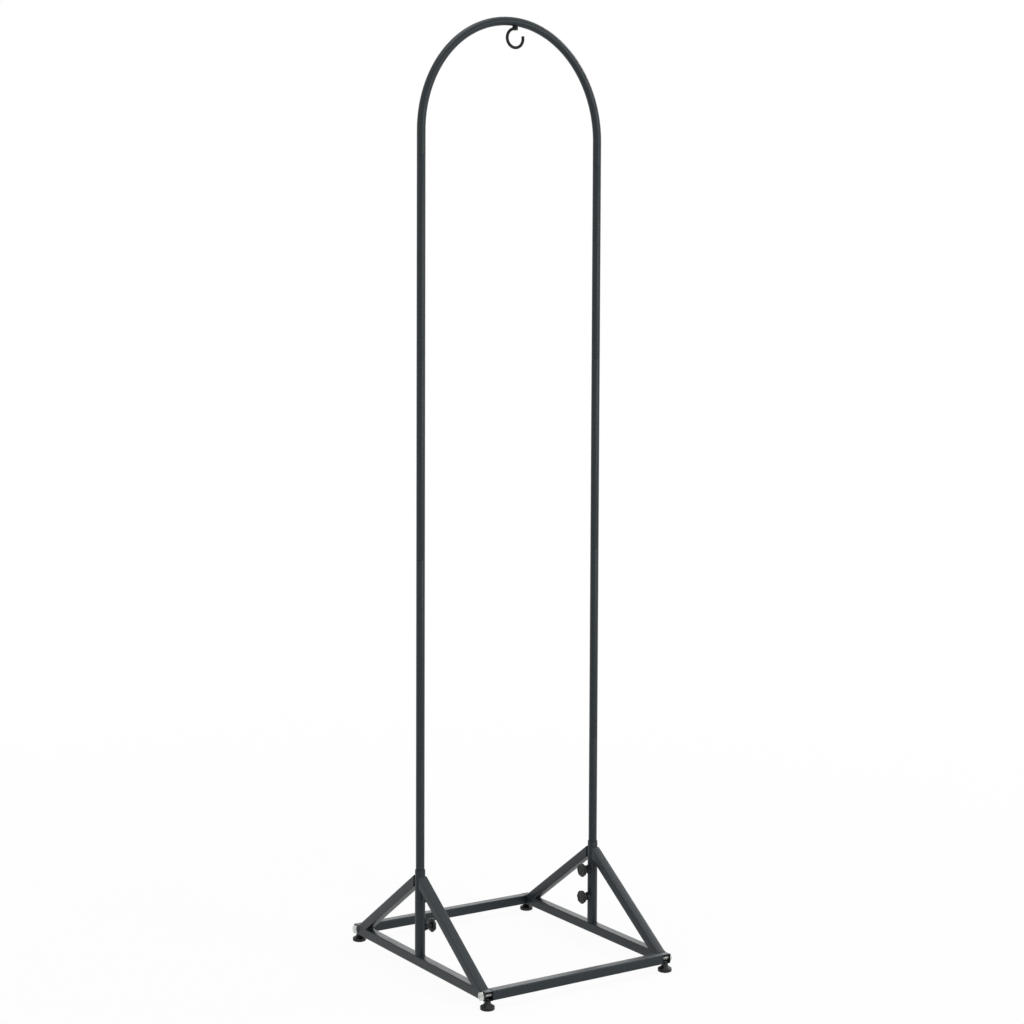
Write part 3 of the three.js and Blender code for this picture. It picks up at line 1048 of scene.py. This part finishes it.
@dataclass(frozen=True)
class SideFrame:
    """One welded side frame: rail, two braces, sleeve, weld nuts and the beads between them."""

    side: Side
    base: Base = Base()
    tube: SquareTube = SquareTube()
    apex: float = 207.5
    toe_inset: float = 8.0
    sleeve_wall: float = 1.5
    sleeve_height: float = 192.0
    nut_flats: float = 17.0
    nut_height: float = 6.5
    bead: float = 1.15
    seam_bead: float = 2.1
    seam_share: float = 0.8  # how far out on the brace's end the seams lie
    seam_sink: float = 1.3
    nut_bead: float = 1.1
    corner_inset: float = 1.2  # the beads stop short of the tube's rounded corners
    arc_share: float = 0.62  # how far the beads at a brace's end reach across it
    foot_arc: float = 62.0  # half the arc of a bead round the sleeve's foot, in degrees

    @property
    def x(self) -> float:
        """The frame's place across the stand."""
        return self.side.value * self.base.rail_x

    @property
    def toe(self) -> float:
        """Where a brace's upper face meets the rail's top, from the middle."""
        return self.base.bar_y - self.toe_inset

    @property
    def slope(self) -> float:
        """The rise of a brace over its run."""
        return (self.apex - self.tube.side) / self.toe

    def rail(self) -> Form:
        """The rail with its holes for bolts and studs.

        Returns:
            The rail in its place.
        """
        half = self.base.bar_y + self.tube.side / 2
        form = self.tube.form(-half, half).moved(turn(90, "X"))
        bolt = self.base.bolt + 2 * self.base.clearance
        stud = self.base.stud + 2 * self.base.clearance
        through = 15.0
        for end in End:
            across = Form.rod(bolt, -through, through).moved(turn(90, "Y"))
            down = Form.rod(stud, -through, 0)
            form = form.cut(across.moved(shift(y=end.value * self.base.bar_y)))
            form = form.cut(down.moved(shift(y=end.value * self.base.foot_y)))
        return form.moved(shift(self.x, 0, self.base.rail_middle))

    def brace(self, end: End) -> Form:
        """A brace, cut level on the rail and upright at the sleeve.

        Args:
            end: the brace's end of the frame.

        Returns:
            The brace in its place.
        """
        angle = math.degrees(math.atan(self.slope))
        side = self.tube.side
        upright = -self.base.sleeve_outer / 2 - GAP
        start = Form.block((-side, -self.toe - 4 * side, -4 * side), (side, side, self.base.rail_top + GAP))
        beyond = Form.block((-side, upright, 0), (side, self.toe, 2 * self.apex))
        length = self.toe / math.cos(math.radians(angle)) + side
        form = self.tube.form(-2 * side, length).moved(
            shift(y=side / 2), turn(angle - 90, "X"), shift(y=-self.toe, z=self.base.rail_top)
        )
        form = form.cut(start).cut(beyond)
        if end is End.REAR:
            form = form.moved(mirror("Y"))
        return form.moved(shift(x=self.x))

    def sleeve(self) -> Form:
        """The round sleeve with its holes for the clamp screws.

        Returns:
            The sleeve in its place.
        """
        low = self.base.rail_top + GAP
        high = self.base.rail_top + self.sleeve_height
        outer = self.base.sleeve_outer
        form = Form.turned(hollow(outer, outer - 2 * self.sleeve_wall, low, high), True, 96)
        for level in Level:
            bore = Form.rod(self.base.screw + 2 * self.base.clearance, 0, outer)
            form = form.cut(bore.moved(outward(-self.side.value), shift(z=level.value)))
        return form.moved(shift(x=self.x))

    def weld_nut(self, level: Level) -> Form:
        """A clamp screw's nut on the sleeve's inner side.

        Args:
            level: the screw's height. The lower nut has a corner on top, the upper one a flat.

        Returns:
            The nut in its place.
        """
        bore = Form.rod(self.base.screw + 2 * self.base.clearance, -1, self.nut_height + 1)
        nut = Hexagon(self.nut_flats, self.nut_height, True).form().cut(bore)
        corners_up = level is Level.LOWER
        start = self.base.sleeve_outer / 2 + GAP
        return nut.moved(
            turn(0 if corners_up else 30, "Z"),
            shift(z=start),
            outward(-self.side.value),
            shift(self.x, 0, level.value),
        )

    def bead_paths(self) -> list[list[Vector]]:
        """Centre lines of the beads on the rail and across the sleeve, about the frame's own middle.

        Returns:
            The points of each bead.
        """
        top = self.base.rail_top
        radius = self.base.sleeve_outer / 2
        cosine = 1 / math.hypot(1, self.slope)
        heel = self.toe - self.tube.side / (self.slope * cosine)
        upper = top + self.slope * self.toe
        lower = upper - self.tube.side / cosine
        flat = self.tube.side / 2 - self.corner_inset
        lift, foot_lift, groove, sink = 0.3, 0.4, 0.25, 0.6
        paths = []
        for end in End:
            run = (self.toe + lift, (self.toe + heel) / 2, heel - lift)
            for y in (run[0], run[-1]):
                paths.append([Vector((x, end.value * y, top + lift)) for x in (-flat, 0, flat)])
            for x in (-flat - groove, flat + groove):
                paths.append([Vector((x, end.value * y, top - sink)) for y in run])
            for height, bulge in ((upper, -0.3), (lower, 0.2)):
                arc = []
                for share in even_shares(6):
                    x = self.arc_share * flat * share
                    y = math.sqrt(radius**2 - x**2) + sink
                    arc.append(Vector((x, end.value * y, height - self.slope * y + bulge)))
                paths.append(arc)
            angles = [math.pi / 2 + math.radians(self.foot_arc) * share for share in even_shares(8)]
            foot = [(radius * math.cos(angle), radius * math.sin(angle) + lift) for angle in angles]
            paths.append([Vector((x, end.value * y, top + foot_lift)) for x, y in foot])
        return paths

    def seam_paths(self) -> list[list[Vector]]:
        """Centre lines of the wide upright beads between the braces' ends and the sleeve's flanks.

        Returns:
            The points of each bead.
        """
        x, y = self.seam_share * self.tube.side / 2, self.base.sleeve_outer / 2 - self.seam_sink
        rise = self.tube.side * math.hypot(1, self.slope)
        upper = self.base.rail_top + self.slope * (self.toe - y)
        over, under = 3.0, 3.2  # how far a bead stops short of the brace's lower and upper face
        heights = (upper - rise + over, upper - rise / 2, upper - under)
        return [[Vector((sign * x, end.value * y, z)) for z in heights] for end in End for sign in (-1, 1)]

    def nut_paths(self) -> list[list[Vector]]:
        """Centre lines of the beads above and below each weld nut, on the frame's inner side.

        Returns:
            The points of each bead.
        """
        radius = self.base.sleeve_outer / 2 + 0.4
        lift, bury = 0.6, 0.2
        flat_up = (self.nut_flats / 2, self.nut_flats * 0.26, 0.0)
        corner_up = (self.nut_flats / math.sqrt(3), self.nut_flats * 0.16, 0.58)
        paths = []
        for level, (reach, width, fall) in ((Level.LOWER, corner_up), (Level.UPPER, flat_up)):
            for sign in (-1, 1):
                path = []
                for share in even_shares(4):
                    y = width * share
                    x = -self.side.value * (math.sqrt(radius**2 - y**2) + lift)
                    path.append(Vector((x, y, level.value + sign * (reach - abs(y) * fall - bury))))
                paths.append(path)
        return paths

    def build(self, bench: Bench, beads: BeadTool) -> None:
        """Makes all the pieces of the frame.

        Args:
            bench: dresses the pieces.
            beads: lays the welds.
        """
        name, body, coat = self.side.label, "frame", Slot.POWDER_COAT
        bench.put(f"{name}_rail_tube", self.rail(), coat, body, f"{name}_rail")
        bench.put(f"{name}_sleeve_tube", self.sleeve(), coat, body, f"{name}_sleeve")
        for end in End:
            node = f"{name}_{end.label}_brace"
            bench.put(f"{node}_tube", self.brace(end), coat, body, node)
        for level in Level:
            node = f"{name}_{level.label}_weld_nut"
            bench.put(f"{node}_hexagon", self.weld_nut(level), coat, body, node)
        welds = (
            ("frame", self.bead_paths(), self.bead, 3.0),
            ("seam", self.seam_paths(), self.seam_bead, 5.0),
            ("nut", self.nut_paths(), self.nut_bead, 7.0),
        )
        for kind, paths, radius, seed in welds:
            form = beads.lay(paths, radius, seed + self.side.value, bench.finishes.of(coat))
            bench.put(f"{name}_{kind}_welds", form.moved(shift(x=self.x)), coat, body)


@dataclass(frozen=True)
class Crossbar:
    """A crossbar with the bolts that hold it between the rails."""

    end: End
    base: Base = Base()
    tube: SquareTube = SquareTube()
    head_flats: float = 17.0
    head_height: float = 5.0
    washer_face: float = 15.8
    washer_height: float = 0.8
    into_head: float = 1.5
    grip: float = 14.0
    pitch: float = 1.5

    def bar(self) -> Form:
        """The tube between the rails.

        Returns:
            The tube in its place.
        """
        half = self.base.rail_x - self.tube.side / 2 - GAP
        return self.tube.form(-half, half).moved(
            turn(90, "Y"), shift(0, self.end.value * self.base.bar_y, self.base.rail_middle)
        )

    def bolt(self, side: Side, threads: ThreadTool, finish: bpy.types.Material) -> Form:
        """A hexagon bolt, its head on the rail's outer face.

        Args:
            side: the rail that it holds.
            threads: cuts its thread.
            finish: its material.

        Returns:
            The bolt in its place.
        """
        tip = -(self.tube.side + GAP + self.grip)
        lift = self.washer_height / 2
        washer_face = Form.rod(self.washer_face, 0.0, self.washer_height, 64)
        head = Hexagon(self.head_flats, self.head_height - lift).form().moved(shift(z=lift), turn(30, "Z"))
        shank = threads.rod(self.base.bolt, self.pitch, tip, self.into_head, finish)
        whole = head.cut(washer_face, Cut.JOINED).cut(shank, Cut.JOINED)
        start = self.base.rail_x + self.tube.side / 2 + GAP
        as_tightened = 17 * side.value + 23 * self.end.value
        return whole.moved(
            turn(as_tightened, "Z"),
            outward(side.value),
            shift(side.value * start, self.end.value * self.base.bar_y, self.base.rail_middle),
        )

    def build(self, bench: Bench, threads: ThreadTool) -> None:
        """Makes all the pieces of the crossbar.

        Args:
            bench: dresses the pieces.
            threads: cuts the bolts' threads.
        """
        name = self.end.label
        bench.put(f"{name}_crossbar_tube", self.bar(), Slot.POWDER_COAT, "frame", f"{name}_crossbar")
        for side in Side:
            node = f"{name}_{side.label}_bolt"
            form = self.bolt(side, threads, bench.finishes.of(Slot.ZINC))
            bench.put(f"{node}_hexagon", form, Slot.ZINC, "frame", node)
            bench.keep(f"{name}_{side.label}_plug", Slot.BLACK_STEEL)


@dataclass(frozen=True)
class Foot:
    """A levelling foot: moulded pad, threaded stud and the nut in the rail."""

    side: Side
    end: End
    base: Base = Base()
    diameter: float = 31.0
    rim: float = 8.5
    pocket_depth: float = 2.0
    rounding: float = 1.1
    neck: float = 14.0
    wall: float = 1.5
    nut_flats: float = 13.0
    nut_height: float = 2.6
    pitch: float = 1.25

    @property
    def place(self) -> Matrix:
        """The foot's place on the floor."""
        return shift(self.side.value * self.base.rail_x, self.end.value * self.base.foot_y)

    @property
    def pocket(self) -> float:
        """The bottom of the stud's pocket in the pad."""
        return self.rim - self.pocket_depth

    @property
    def wall_top(self) -> float:
        """Where the nut sits on the rail's bottom wall."""
        return self.base.rail_bottom + self.wall + GAP

    def pad(self) -> Form:
        """The pad: a rim on the floor, and shoulders that draw in to the neck under the rail.

        Returns:
            The pad about its own axis.
        """
        radius, neck = self.diameter / 2, self.neck / 2
        top = self.base.rail_bottom - GAP
        bore = self.base.stud / 2 + self.base.clearance
        corners = [
            (AXIS, 0.0),
            (radius - 3.2, 0.0),
            (radius - 2.6, 0.5),
            (radius, 1.4),
            (radius, self.rim - 0.6),
            (radius - 1.6, self.rim + 0.4),
            (neck + 3.0, self.rim + 2.6),
            (neck + 0.6, self.rim + 5.2),
            (neck, top - 3.5),
            (neck, top),
            (bore, top),
            (bore, self.pocket),
            (AXIS, self.pocket),
        ]
        return Form.turned(rounded(corners, self.rounding, False, 4), facets=72)

    def nut(self) -> Form:
        """The thin nut on the rail's bottom wall.

        Returns:
            The nut about the foot's own axis.
        """
        bore = Form.rod(self.base.stud + 2 * self.base.clearance, -1, 9)
        return Hexagon(self.nut_flats, self.nut_height, True).form().cut(bore).moved(shift(z=self.wall_top))

    def build(self, bench: Bench, threads: ThreadTool) -> None:
        """Makes all the pieces of the foot.

        Args:
            bench: dresses the pieces.
            threads: cuts the stud's thread.
        """
        name = f"{self.end.label}_{self.side.label}_foot"
        top = self.wall_top + self.nut_height
        stud = threads.rod(self.base.stud, self.pitch, self.pocket + GAP, top, bench.finishes.of(Slot.ZINC))
        pieces = (
            ("pad", self.pad(), Slot.BLACK_PLASTIC, f"{name}_pad_body"),
            ("stud", stud, Slot.ZINC, f"{name}_stud_body"),
            ("nut", self.nut(), Slot.BLACK_STEEL, "frame"),
        )
        for kind, form, slot, body in pieces:
            node = f"{name}_{kind}"
            bench.put(f"{node}_fine", form.moved(self.place), slot, body, node)


@dataclass(frozen=True)
class Knob:
    """A clamp screw with its lobed knob."""

    side: Side
    level: Level
    base: Base = Base()
    leg_outer: float = 19.0
    nut_height: float = 6.5
    diameter: float = 31.0
    lobes: int = 7
    lobe_depth: float = 1.2
    lobe_reach: float = 4.4  # how far in from the rim the lobes start to show
    lobe_fade: float = 3.2  # the length over which they reach their full depth
    lobe_roundness: float = 1.3
    head: float = 8.0
    hub: float = 15.0
    hub_length: float = 7.5
    pitch: float = 1.5
    rounding: float = 0.8
    facets: int = 168

    @property
    def start(self) -> float:
        """Where the hub starts, from the post's axis."""
        return self.base.sleeve_outer / 2 + self.nut_height + 2 * GAP

    def moulding(self) -> Form:
        """The knob: waisted hub, scalloped rim and dished face.

        Returns:
            The knob about its own axis, its hub's end at 0.
        """
        radius, hub, neck = self.diameter / 2, self.hub / 2, self.hub_length
        top = neck + self.head
        bore = self.base.screw / 2 + self.base.clearance
        stop = neck + self.head / 2
        corners = [
            (AXIS, stop),
            (bore, stop),
            (bore, 0.0),
            (hub - 0.5, 0.0),
            (hub, 0.6),
            (hub - 0.7, neck * 0.45),
            (hub + 0.1, neck - 1.2),
            (radius - 4.6, neck + 0.1),
            (radius - 1.2, neck + 0.5),
            (radius, neck + 1.7),
            (radius, top - 2.0),
            (radius - 1.1, top - 0.4),
            (radius - 2.9, top),
            (radius - 4.2, top - 0.3),
            (radius - 5.4, top - 1.2),
            (4.6, top - 1.3),
            (4.0, top - 0.7),
            (AXIS, top - 0.6),
        ]
        profile = rounded(corners, self.rounding, False)
        return Form.loft([self.scalloped(radius, height) for radius, height in profile], False)

    def scalloped(self, radius: float, height: float) -> list[Vector]:
        """A ring of the moulding, drawn in between the lobes near the rim.

        Args:
            radius: of the ring on the lobes.
            height: of the ring.

        Returns:
            The ring's points.
        """
        share = min(max((radius - self.diameter / 2 + self.lobe_reach) / self.lobe_fade, 0.0), 1.0)
        depth = share * share * (3 - 2 * share) * self.lobe_depth
        points = []
        for k in range(self.facets):
            angle = 2 * math.pi * k / self.facets
            groove = (0.5 - 0.5 * math.cos(self.lobes * angle)) ** self.lobe_roundness
            reach = radius - depth * groove
            points.append(Vector((reach * math.cos(angle), reach * math.sin(angle), height)))
        return points

    def build(self, bench: Bench, threads: ThreadTool) -> None:
        """Makes the screw and the knob.

        Args:
            bench: dresses the pieces.
            threads: cuts the screw's thread.
        """
        name = f"{self.side.label}_{self.level.label}"
        inwards = -self.side.value
        place = (outward(inwards), shift(self.side.value * self.base.rail_x, 0, self.level.value))
        tip = self.leg_outer / 2 + GAP
        stop = self.start + self.hub_length + self.head / 2 - GAP
        screw = threads.rod(self.base.screw, self.pitch, tip, stop, bench.finishes.of(Slot.ZINC))
        node = f"{name}_clamp_screw"
        bench.put(f"{node}_thread", screw.moved(*place), Slot.ZINC, f"{name}_screw", node)
        as_tightened = turn(11 + 40 * self.level.value, "Z")
        knob = self.moulding().moved(shift(z=self.start), as_tightened, *place)
        bench.put(f"{name}_knob_moulding", knob, Slot.BLACK_PLASTIC, f"{name}_knob", f"{name}_knob")


# ---------- mast ----------
@dataclass(frozen=True)
class Mast:
    """The legs in four lengths each, and the bent top tube."""

    base: Base = Base()
    outer: float = 19.0
    wall: float = 1.2
    sections: int = 4
    length: float = 437.0
    spigot: float = 32.0
    spigot_clearance: float = 0.25
    rise: float = 252.0
    stub: float = 55.0
    end_ease: float = 0.4
    rounding: float = 0.45
    bend_steps: int = 144
    facets: int = 64
    insert_barrel: float = 9.0
    hook_offset: float = 8.0

    @property
    def bottom(self) -> float:
        """The legs' lower ends."""
        return self.base.rail_top + GAP

    @property
    def arch_bottom(self) -> float:
        """Where the bent tube starts."""
        return self.bottom + self.sections * self.length

    @property
    def spring(self) -> float:
        """Where the bend starts."""
        return self.arch_bottom + self.stub

    def height_at(self, x: float) -> float:
        """The height of the bend's centre line over a place across the stand."""
        return self.spring + self.rise * math.sqrt(1 - (x / self.base.rail_x) ** 2)

    def section(self, side: Side, index: int) -> Form:
        """A length of leg with its spigot.

        Args:
            side: the leg.
            index: the length's number from the floor, from 0.

        Returns:
            The tube in its place.
        """
        outer, inner = self.outer / 2, self.outer / 2 - self.wall
        spigot = inner - self.spigot_clearance
        shoulder = self.length - GAP
        tip = shoulder + self.spigot
        corners = [
            (inner, 0.0),
            (outer, 0.0),
            (outer, shoulder),
            (spigot, shoulder + 0.05),
            (spigot, tip),
            (spigot - self.wall, tip),
            (spigot - self.wall, shoulder - 1.0),
            (inner, shoulder - 4.0),
        ]
        form = Form.turned(rounded(corners, self.rounding, True), True, self.facets)
        return form.moved(shift(side.value * self.base.rail_x, 0, self.bottom + index * self.length))

    def line(self) -> list[Vector]:
        """The bend's centre line from the left leg to the right leg.

        Returns:
            The points in order.
        """
        reach = self.base.rail_x
        heights = (0.0, self.end_ease, *(self.stub * k / 4 for k in (1, 2, 3)))
        points = [Vector((-reach, 0, self.arch_bottom + height)) for height in heights]
        for k in range(self.bend_steps + 1):
            angle = math.pi * k / self.bend_steps
            points.append(Vector((-reach * math.cos(angle), 0, self.spring + self.rise * math.sin(angle))))
        points += [Vector((reach, 0, point.z)) for point in points[len(heights) - 1 :: -1]]
        return points

    def arch(self) -> Form:
        """The bent tube, open at both ends and drilled for the hook's insert.

        Returns:
            The tube in its place.
        """
        path = self.line()
        last = len(path) - 1
        outer = [self.outer / 2 - (self.end_ease if i in (0, last) else 0.0) for i in range(last + 1)]
        inner = [self.outer / 2 - self.wall] * (last + 1)
        normal = Vector((0, 1, 0))
        rings = sweep(path, normal, outer, self.facets) + sweep(path, normal, inner, self.facets)[::-1]
        hole = Form.rod(self.insert_barrel + 2 * self.base.clearance, -self.outer, 0)
        crown = shift(self.hook_offset, 0, self.height_at(self.hook_offset))
        return Form.loft(rings, True).cut(hole.moved(crown))

    def build(self, bench: Bench) -> None:
        """Makes all the tubes of the mast.

        Args:
            bench: dresses the pieces.
        """
        bench.put("arch_bent_tube", self.arch(), Slot.POWDER_COAT, "mast", "arch")
        for side in Side:
            for index in range(self.sections):
                node = f"{side.label}_leg_section_{index + 1}"
                bench.put(f"{node}_tube", self.section(side, index), Slot.POWDER_COAT, "mast", node)


@dataclass(frozen=True)
class Hook:
    """The open ring hook with its collar, shank and threaded insert."""

    mast: Mast = Mast()
    wire: float = 6.8
    across: float = 41.5
    end_angle: float = 14.0
    collar: float = 12.6
    collar_height: float = 7.0
    shank: float = 6.0
    saddle: float = 1.6
    insert_length: float = 7.0
    rounding: float = 0.7
    ring_steps: int = 96
    pitch: float = 1.0
    end_cap: tuple[Point, ...] = ((0.112, 0.98), (0.208, 0.92), (0.272, 0.78), (0.296, 0.55))

    @property
    def underside(self) -> float:
        """The tube's underside above the hook."""
        return self.mast.height_at(self.mast.hook_offset) - self.mast.outer / 2

    @property
    def collar_top(self) -> float:
        """The top of the collar."""
        return self.underside - self.saddle - GAP

    @property
    def ring_top(self) -> float:
        """The height of the wire's centre line at the top of the ring."""
        return self.collar_top - GAP - self.wire / 2

    def insert(self) -> Form:
        """The threaded insert: a barrel in the tube and a flange shaped to its underside.

        Returns:
            The insert about the hook's axis.
        """
        centre = self.mast.height_at(self.mast.hook_offset)
        low = self.underside - self.saddle
        top = self.underside + self.mast.wall + self.insert_length
        flange = Form.rod(self.collar, low, centre, 72)
        tube = Form.rod(self.mast.outer + 2 * GAP, -20, 20, 96).moved(turn(90, "Y"), shift(z=centre))
        barrel = Form.rod(self.mast.insert_barrel, low, top, 64)
        bore = Form.rod(self.shank + 2 * self.mast.base.clearance, low - 5, top + 5)
        return flange.cut(tube).cut(barrel, Cut.JOINED).cut(bore)

    def ring_form(self) -> Form:
        """The wire, from the collar round under to its free end, which is rounded off.

        Returns:
            The wire about the hook's axis.
        """
        radius = self.across / 2
        centre = Vector((0, 0, self.ring_top - radius))
        start, stop = math.pi / 2, 2 * math.pi + math.radians(self.end_angle)
        angles = (start + (stop - start) * k / self.ring_steps for k in range(self.ring_steps + 1))
        path = [centre + radius * Vector((math.cos(a), 0, math.sin(a))) for a in angles]
        wire = self.wire / 2
        radii = [wire] * len(path)
        along = (path[-1] - path[-2]).normalized()
        for beyond, width in self.end_cap:
            path.append(path[self.ring_steps] + along * wire * beyond)
            radii.append(wire * width)
        return Form.loft(sweep(path, Vector((0, 1, 0)), radii, 40), False)

    def form(self, threads: ThreadTool, finish: bpy.types.Material) -> Form:
        """The ring, collar and shank as one forging.

        Args:
            threads: cuts the shank's thread.
            finish: its material.

        Returns:
            The hook about its own axis.
        """
        low, high, reach = self.collar_top - self.collar_height, self.collar_top, self.collar / 2
        corners = [(AXIS, low), (reach, low), (reach, high), (AXIS, high)]
        collar = Form.turned(rounded(corners, self.rounding, False))
        top = self.underside + self.mast.wall + self.insert_length - 1
        shank = threads.rod(self.shank, self.pitch, self.collar_top - 2, top, finish)
        return self.ring_form().cut(collar, Cut.JOINED).cut(shank, Cut.JOINED)

    def build(self, bench: Bench, threads: ThreadTool) -> None:
        """Makes the insert and the hook.

        Args:
            bench: dresses the pieces.
            threads: cuts the shank's thread.
        """
        place = shift(x=self.mast.hook_offset)
        bench.put("hook_insert_turned", self.insert().moved(place), Slot.BLACK_STEEL, "mast", "hook_insert")
        hook = self.form(threads, bench.finishes.of(Slot.BLACK_STEEL))
        bench.put("hook_forging", hook.moved(place), Slot.BLACK_STEEL, "hook", "hook")


# ---------- studio ----------
@dataclass(frozen=True)
class SoftBox:
    """A square lamp that faces the stand's middle, in metres and watts."""

    name: str
    at: tuple[float, float, float]
    size: float
    watts: float
    aim: tuple[float, float, float] = (0.0, 0.0, 0.9)

    def hang(self) -> None:
        """Puts the lamp up."""
        data = bpy.data.lights.new(self.name, "AREA")
        data.shape = "SQUARE"
        data.size = self.size
        data.energy = self.watts
        lamp = bpy.data.objects.new(self.name, data)
        towards = (Vector(self.aim) - Vector(self.at)).to_track_quat("-Z", "Y")
        lamp.matrix_world = Matrix.Translation(self.at) @ towards.to_matrix().to_4x4()
        bpy.context.scene.collection.objects.link(lamp)


@dataclass(frozen=True)
class Studio:
    """White floor, soft light and the camera of the photograph."""

    camera_at: tuple[float, float, float] = (-2.38631, -3.67256, 1.40128)
    yaw: float = 0.5770
    pitch: float = -0.0548
    roll: float = 0.0040
    lens: float = 69.04
    sensor: float = 36.0
    farthest: float = 200.0
    shift_y: float = -0.0664
    floor_half: float = 60.0
    floor_glow: float = 0.94
    glow_starts: float = 1.0
    glow_ends: float = 3.6
    ambient: float = 0.42
    film_white: float = 1.0
    floor_grain_mm: float = 3.0
    floor_low: tuple[float, float, float] = (0.86, 0.86, 0.86)
    floor_high: tuple[float, float, float] = (0.90, 0.90, 0.90)
    lamps: tuple[SoftBox, ...] = (
        SoftBox("overhead", (-0.6, -0.6, 8.0), 4.5, 180.0),
        SoftBox("left_bank", (-4.6, -0.8, 3.6), 2.4, 8.0),
        SoftBox("front_strip", (1.6, -4.7, 1.6), 1.4, 72.0),
        SoftBox("rear_rim", (3.6, 5.6, 3.4), 3.0, 66.0),
        SoftBox("right_bank", (6.8, 0.4, 5.4), 1.8, 180.0),
    )

    def camera(self) -> None:
        """Puts up the camera."""
        forward = Vector(
            (
                math.sin(self.yaw) * math.cos(self.pitch),
                math.cos(self.yaw) * math.cos(self.pitch),
                math.sin(self.pitch),
            )
        )
        level = Vector((math.cos(self.yaw), -math.sin(self.yaw), 0))
        above = level.cross(forward)
        right = level * math.cos(self.roll) + above * math.sin(self.roll)
        up = above * math.cos(self.roll) - level * math.sin(self.roll)
        data = bpy.data.cameras.new("camera")
        data.sensor_width = self.sensor
        data.lens = self.lens
        data.shift_y = self.shift_y
        data.clip_end = self.farthest
        camera = bpy.data.objects.new("camera", data)
        turned = Matrix((right, up, -forward)).transposed().to_4x4()
        camera.matrix_world = Matrix.Translation(self.camera_at) @ turned
        bpy.context.scene.collection.objects.link(camera)
        bpy.context.scene.camera = camera

    def seen(self, graph: Graph) -> Wire:
        """A mask of 1 for what the camera sees direct, mirrored or through glass.

        Args:
            graph: the node tree that the mask joins.

        Returns:
            The mask.
        """
        path = graph.node("ShaderNodeLightPath")
        camera, glossy, through = (
            Wire(graph, path.outputs[name])
            for name in ("Is Camera Ray", "Is Glossy Ray", "Is Transmission Ray")
        )
        return (camera + glossy + through).clamped()

    def world(self) -> None:
        """Makes the surroundings: soft ambient light, and white where the camera looks."""
        world = bpy.data.worlds.new("studio")
        world.use_nodes = True
        graph = Graph(world.node_tree)
        world.node_tree.nodes.clear()
        seen = self.seen(graph)
        strength = self.ambient + seen * (self.film_white - self.ambient)
        back = graph.node("ShaderNodeBackground", {}, {"Color": (1, 1, 1, 1), "Strength": strength})
        out = graph.node("ShaderNodeOutputWorld")
        graph.feed(out.inputs["Surface"], back.outputs[0])
        bpy.context.scene.world = world

    def floor(self) -> None:
        """Lays the white floor, which keeps a faint shadow."""
        graph = ShaderGraph("studio_floor")
        place = graph.place()
        grain = graph.noise(place, self.floor_grain_mm)
        matt = graph.node(
            "ShaderNodeBsdfDiffuse",
            {},
            {"Color": graph.blend(grain, self.floor_low, self.floor_high), "Roughness": 1.0},
        )
        glow = graph.node("ShaderNodeEmission", {}, {"Color": (1, 1, 1, 1), "Strength": self.film_white})
        away = graph.node("ShaderNodeVectorMath", {"operation": "LENGTH"}, {0: place}).outputs["Value"]
        fade = ((Wire(graph, away) - self.glow_starts) / (self.glow_ends - self.glow_starts)).clamped()
        share = self.seen(graph) * (self.floor_glow + fade * (1.0 - self.floor_glow))
        mixed = graph.node("ShaderNodeMixShader", {}, {0: share, 1: matt.outputs[0], 2: glow.outputs[0]})
        graph.feed(graph.output.inputs["Surface"], mixed.outputs[0])
        mesh = bpy.data.meshes.new("floor")
        half = self.floor_half
        corners = [(-half, -half, 0), (half, -half, 0), (half, half, 0), (-half, half, 0)]
        mesh.from_pydata(corners, [], [(0, 1, 2, 3)])
        mesh.materials.append(graph.material)
        floor = bpy.data.objects.new("floor", mesh)
        bpy.context.scene.collection.objects.link(floor)

    def build(self) -> None:
        """Puts up the whole studio."""
        bpy.context.scene.view_settings.view_transform = "Standard"
        self.camera()
        self.world()
        self.floor()
        for lamp in self.lamps:
            lamp.hang()


def main() -> None:
    """Builds the stand's pieces and the studio."""
    logging.basicConfig(level=logging.INFO, format="%(name)s %(message)s", force=True)
    Studio().build()
    bench = Bench(Finishes())
    threads, beads = ThreadTool(), BeadTool()
    for side in Side:
        SideFrame(side).build(bench, beads)
    for end in End:
        Crossbar(end).build(bench, threads)
    for side in Side:
        for end in End:
            Foot(side, end).build(bench, threads)
        for level in Level:
            Knob(side, level).build(bench, threads)
    Mast().build(bench)
    Hook().build(bench, threads)


if __name__ == "__main__":
    main()
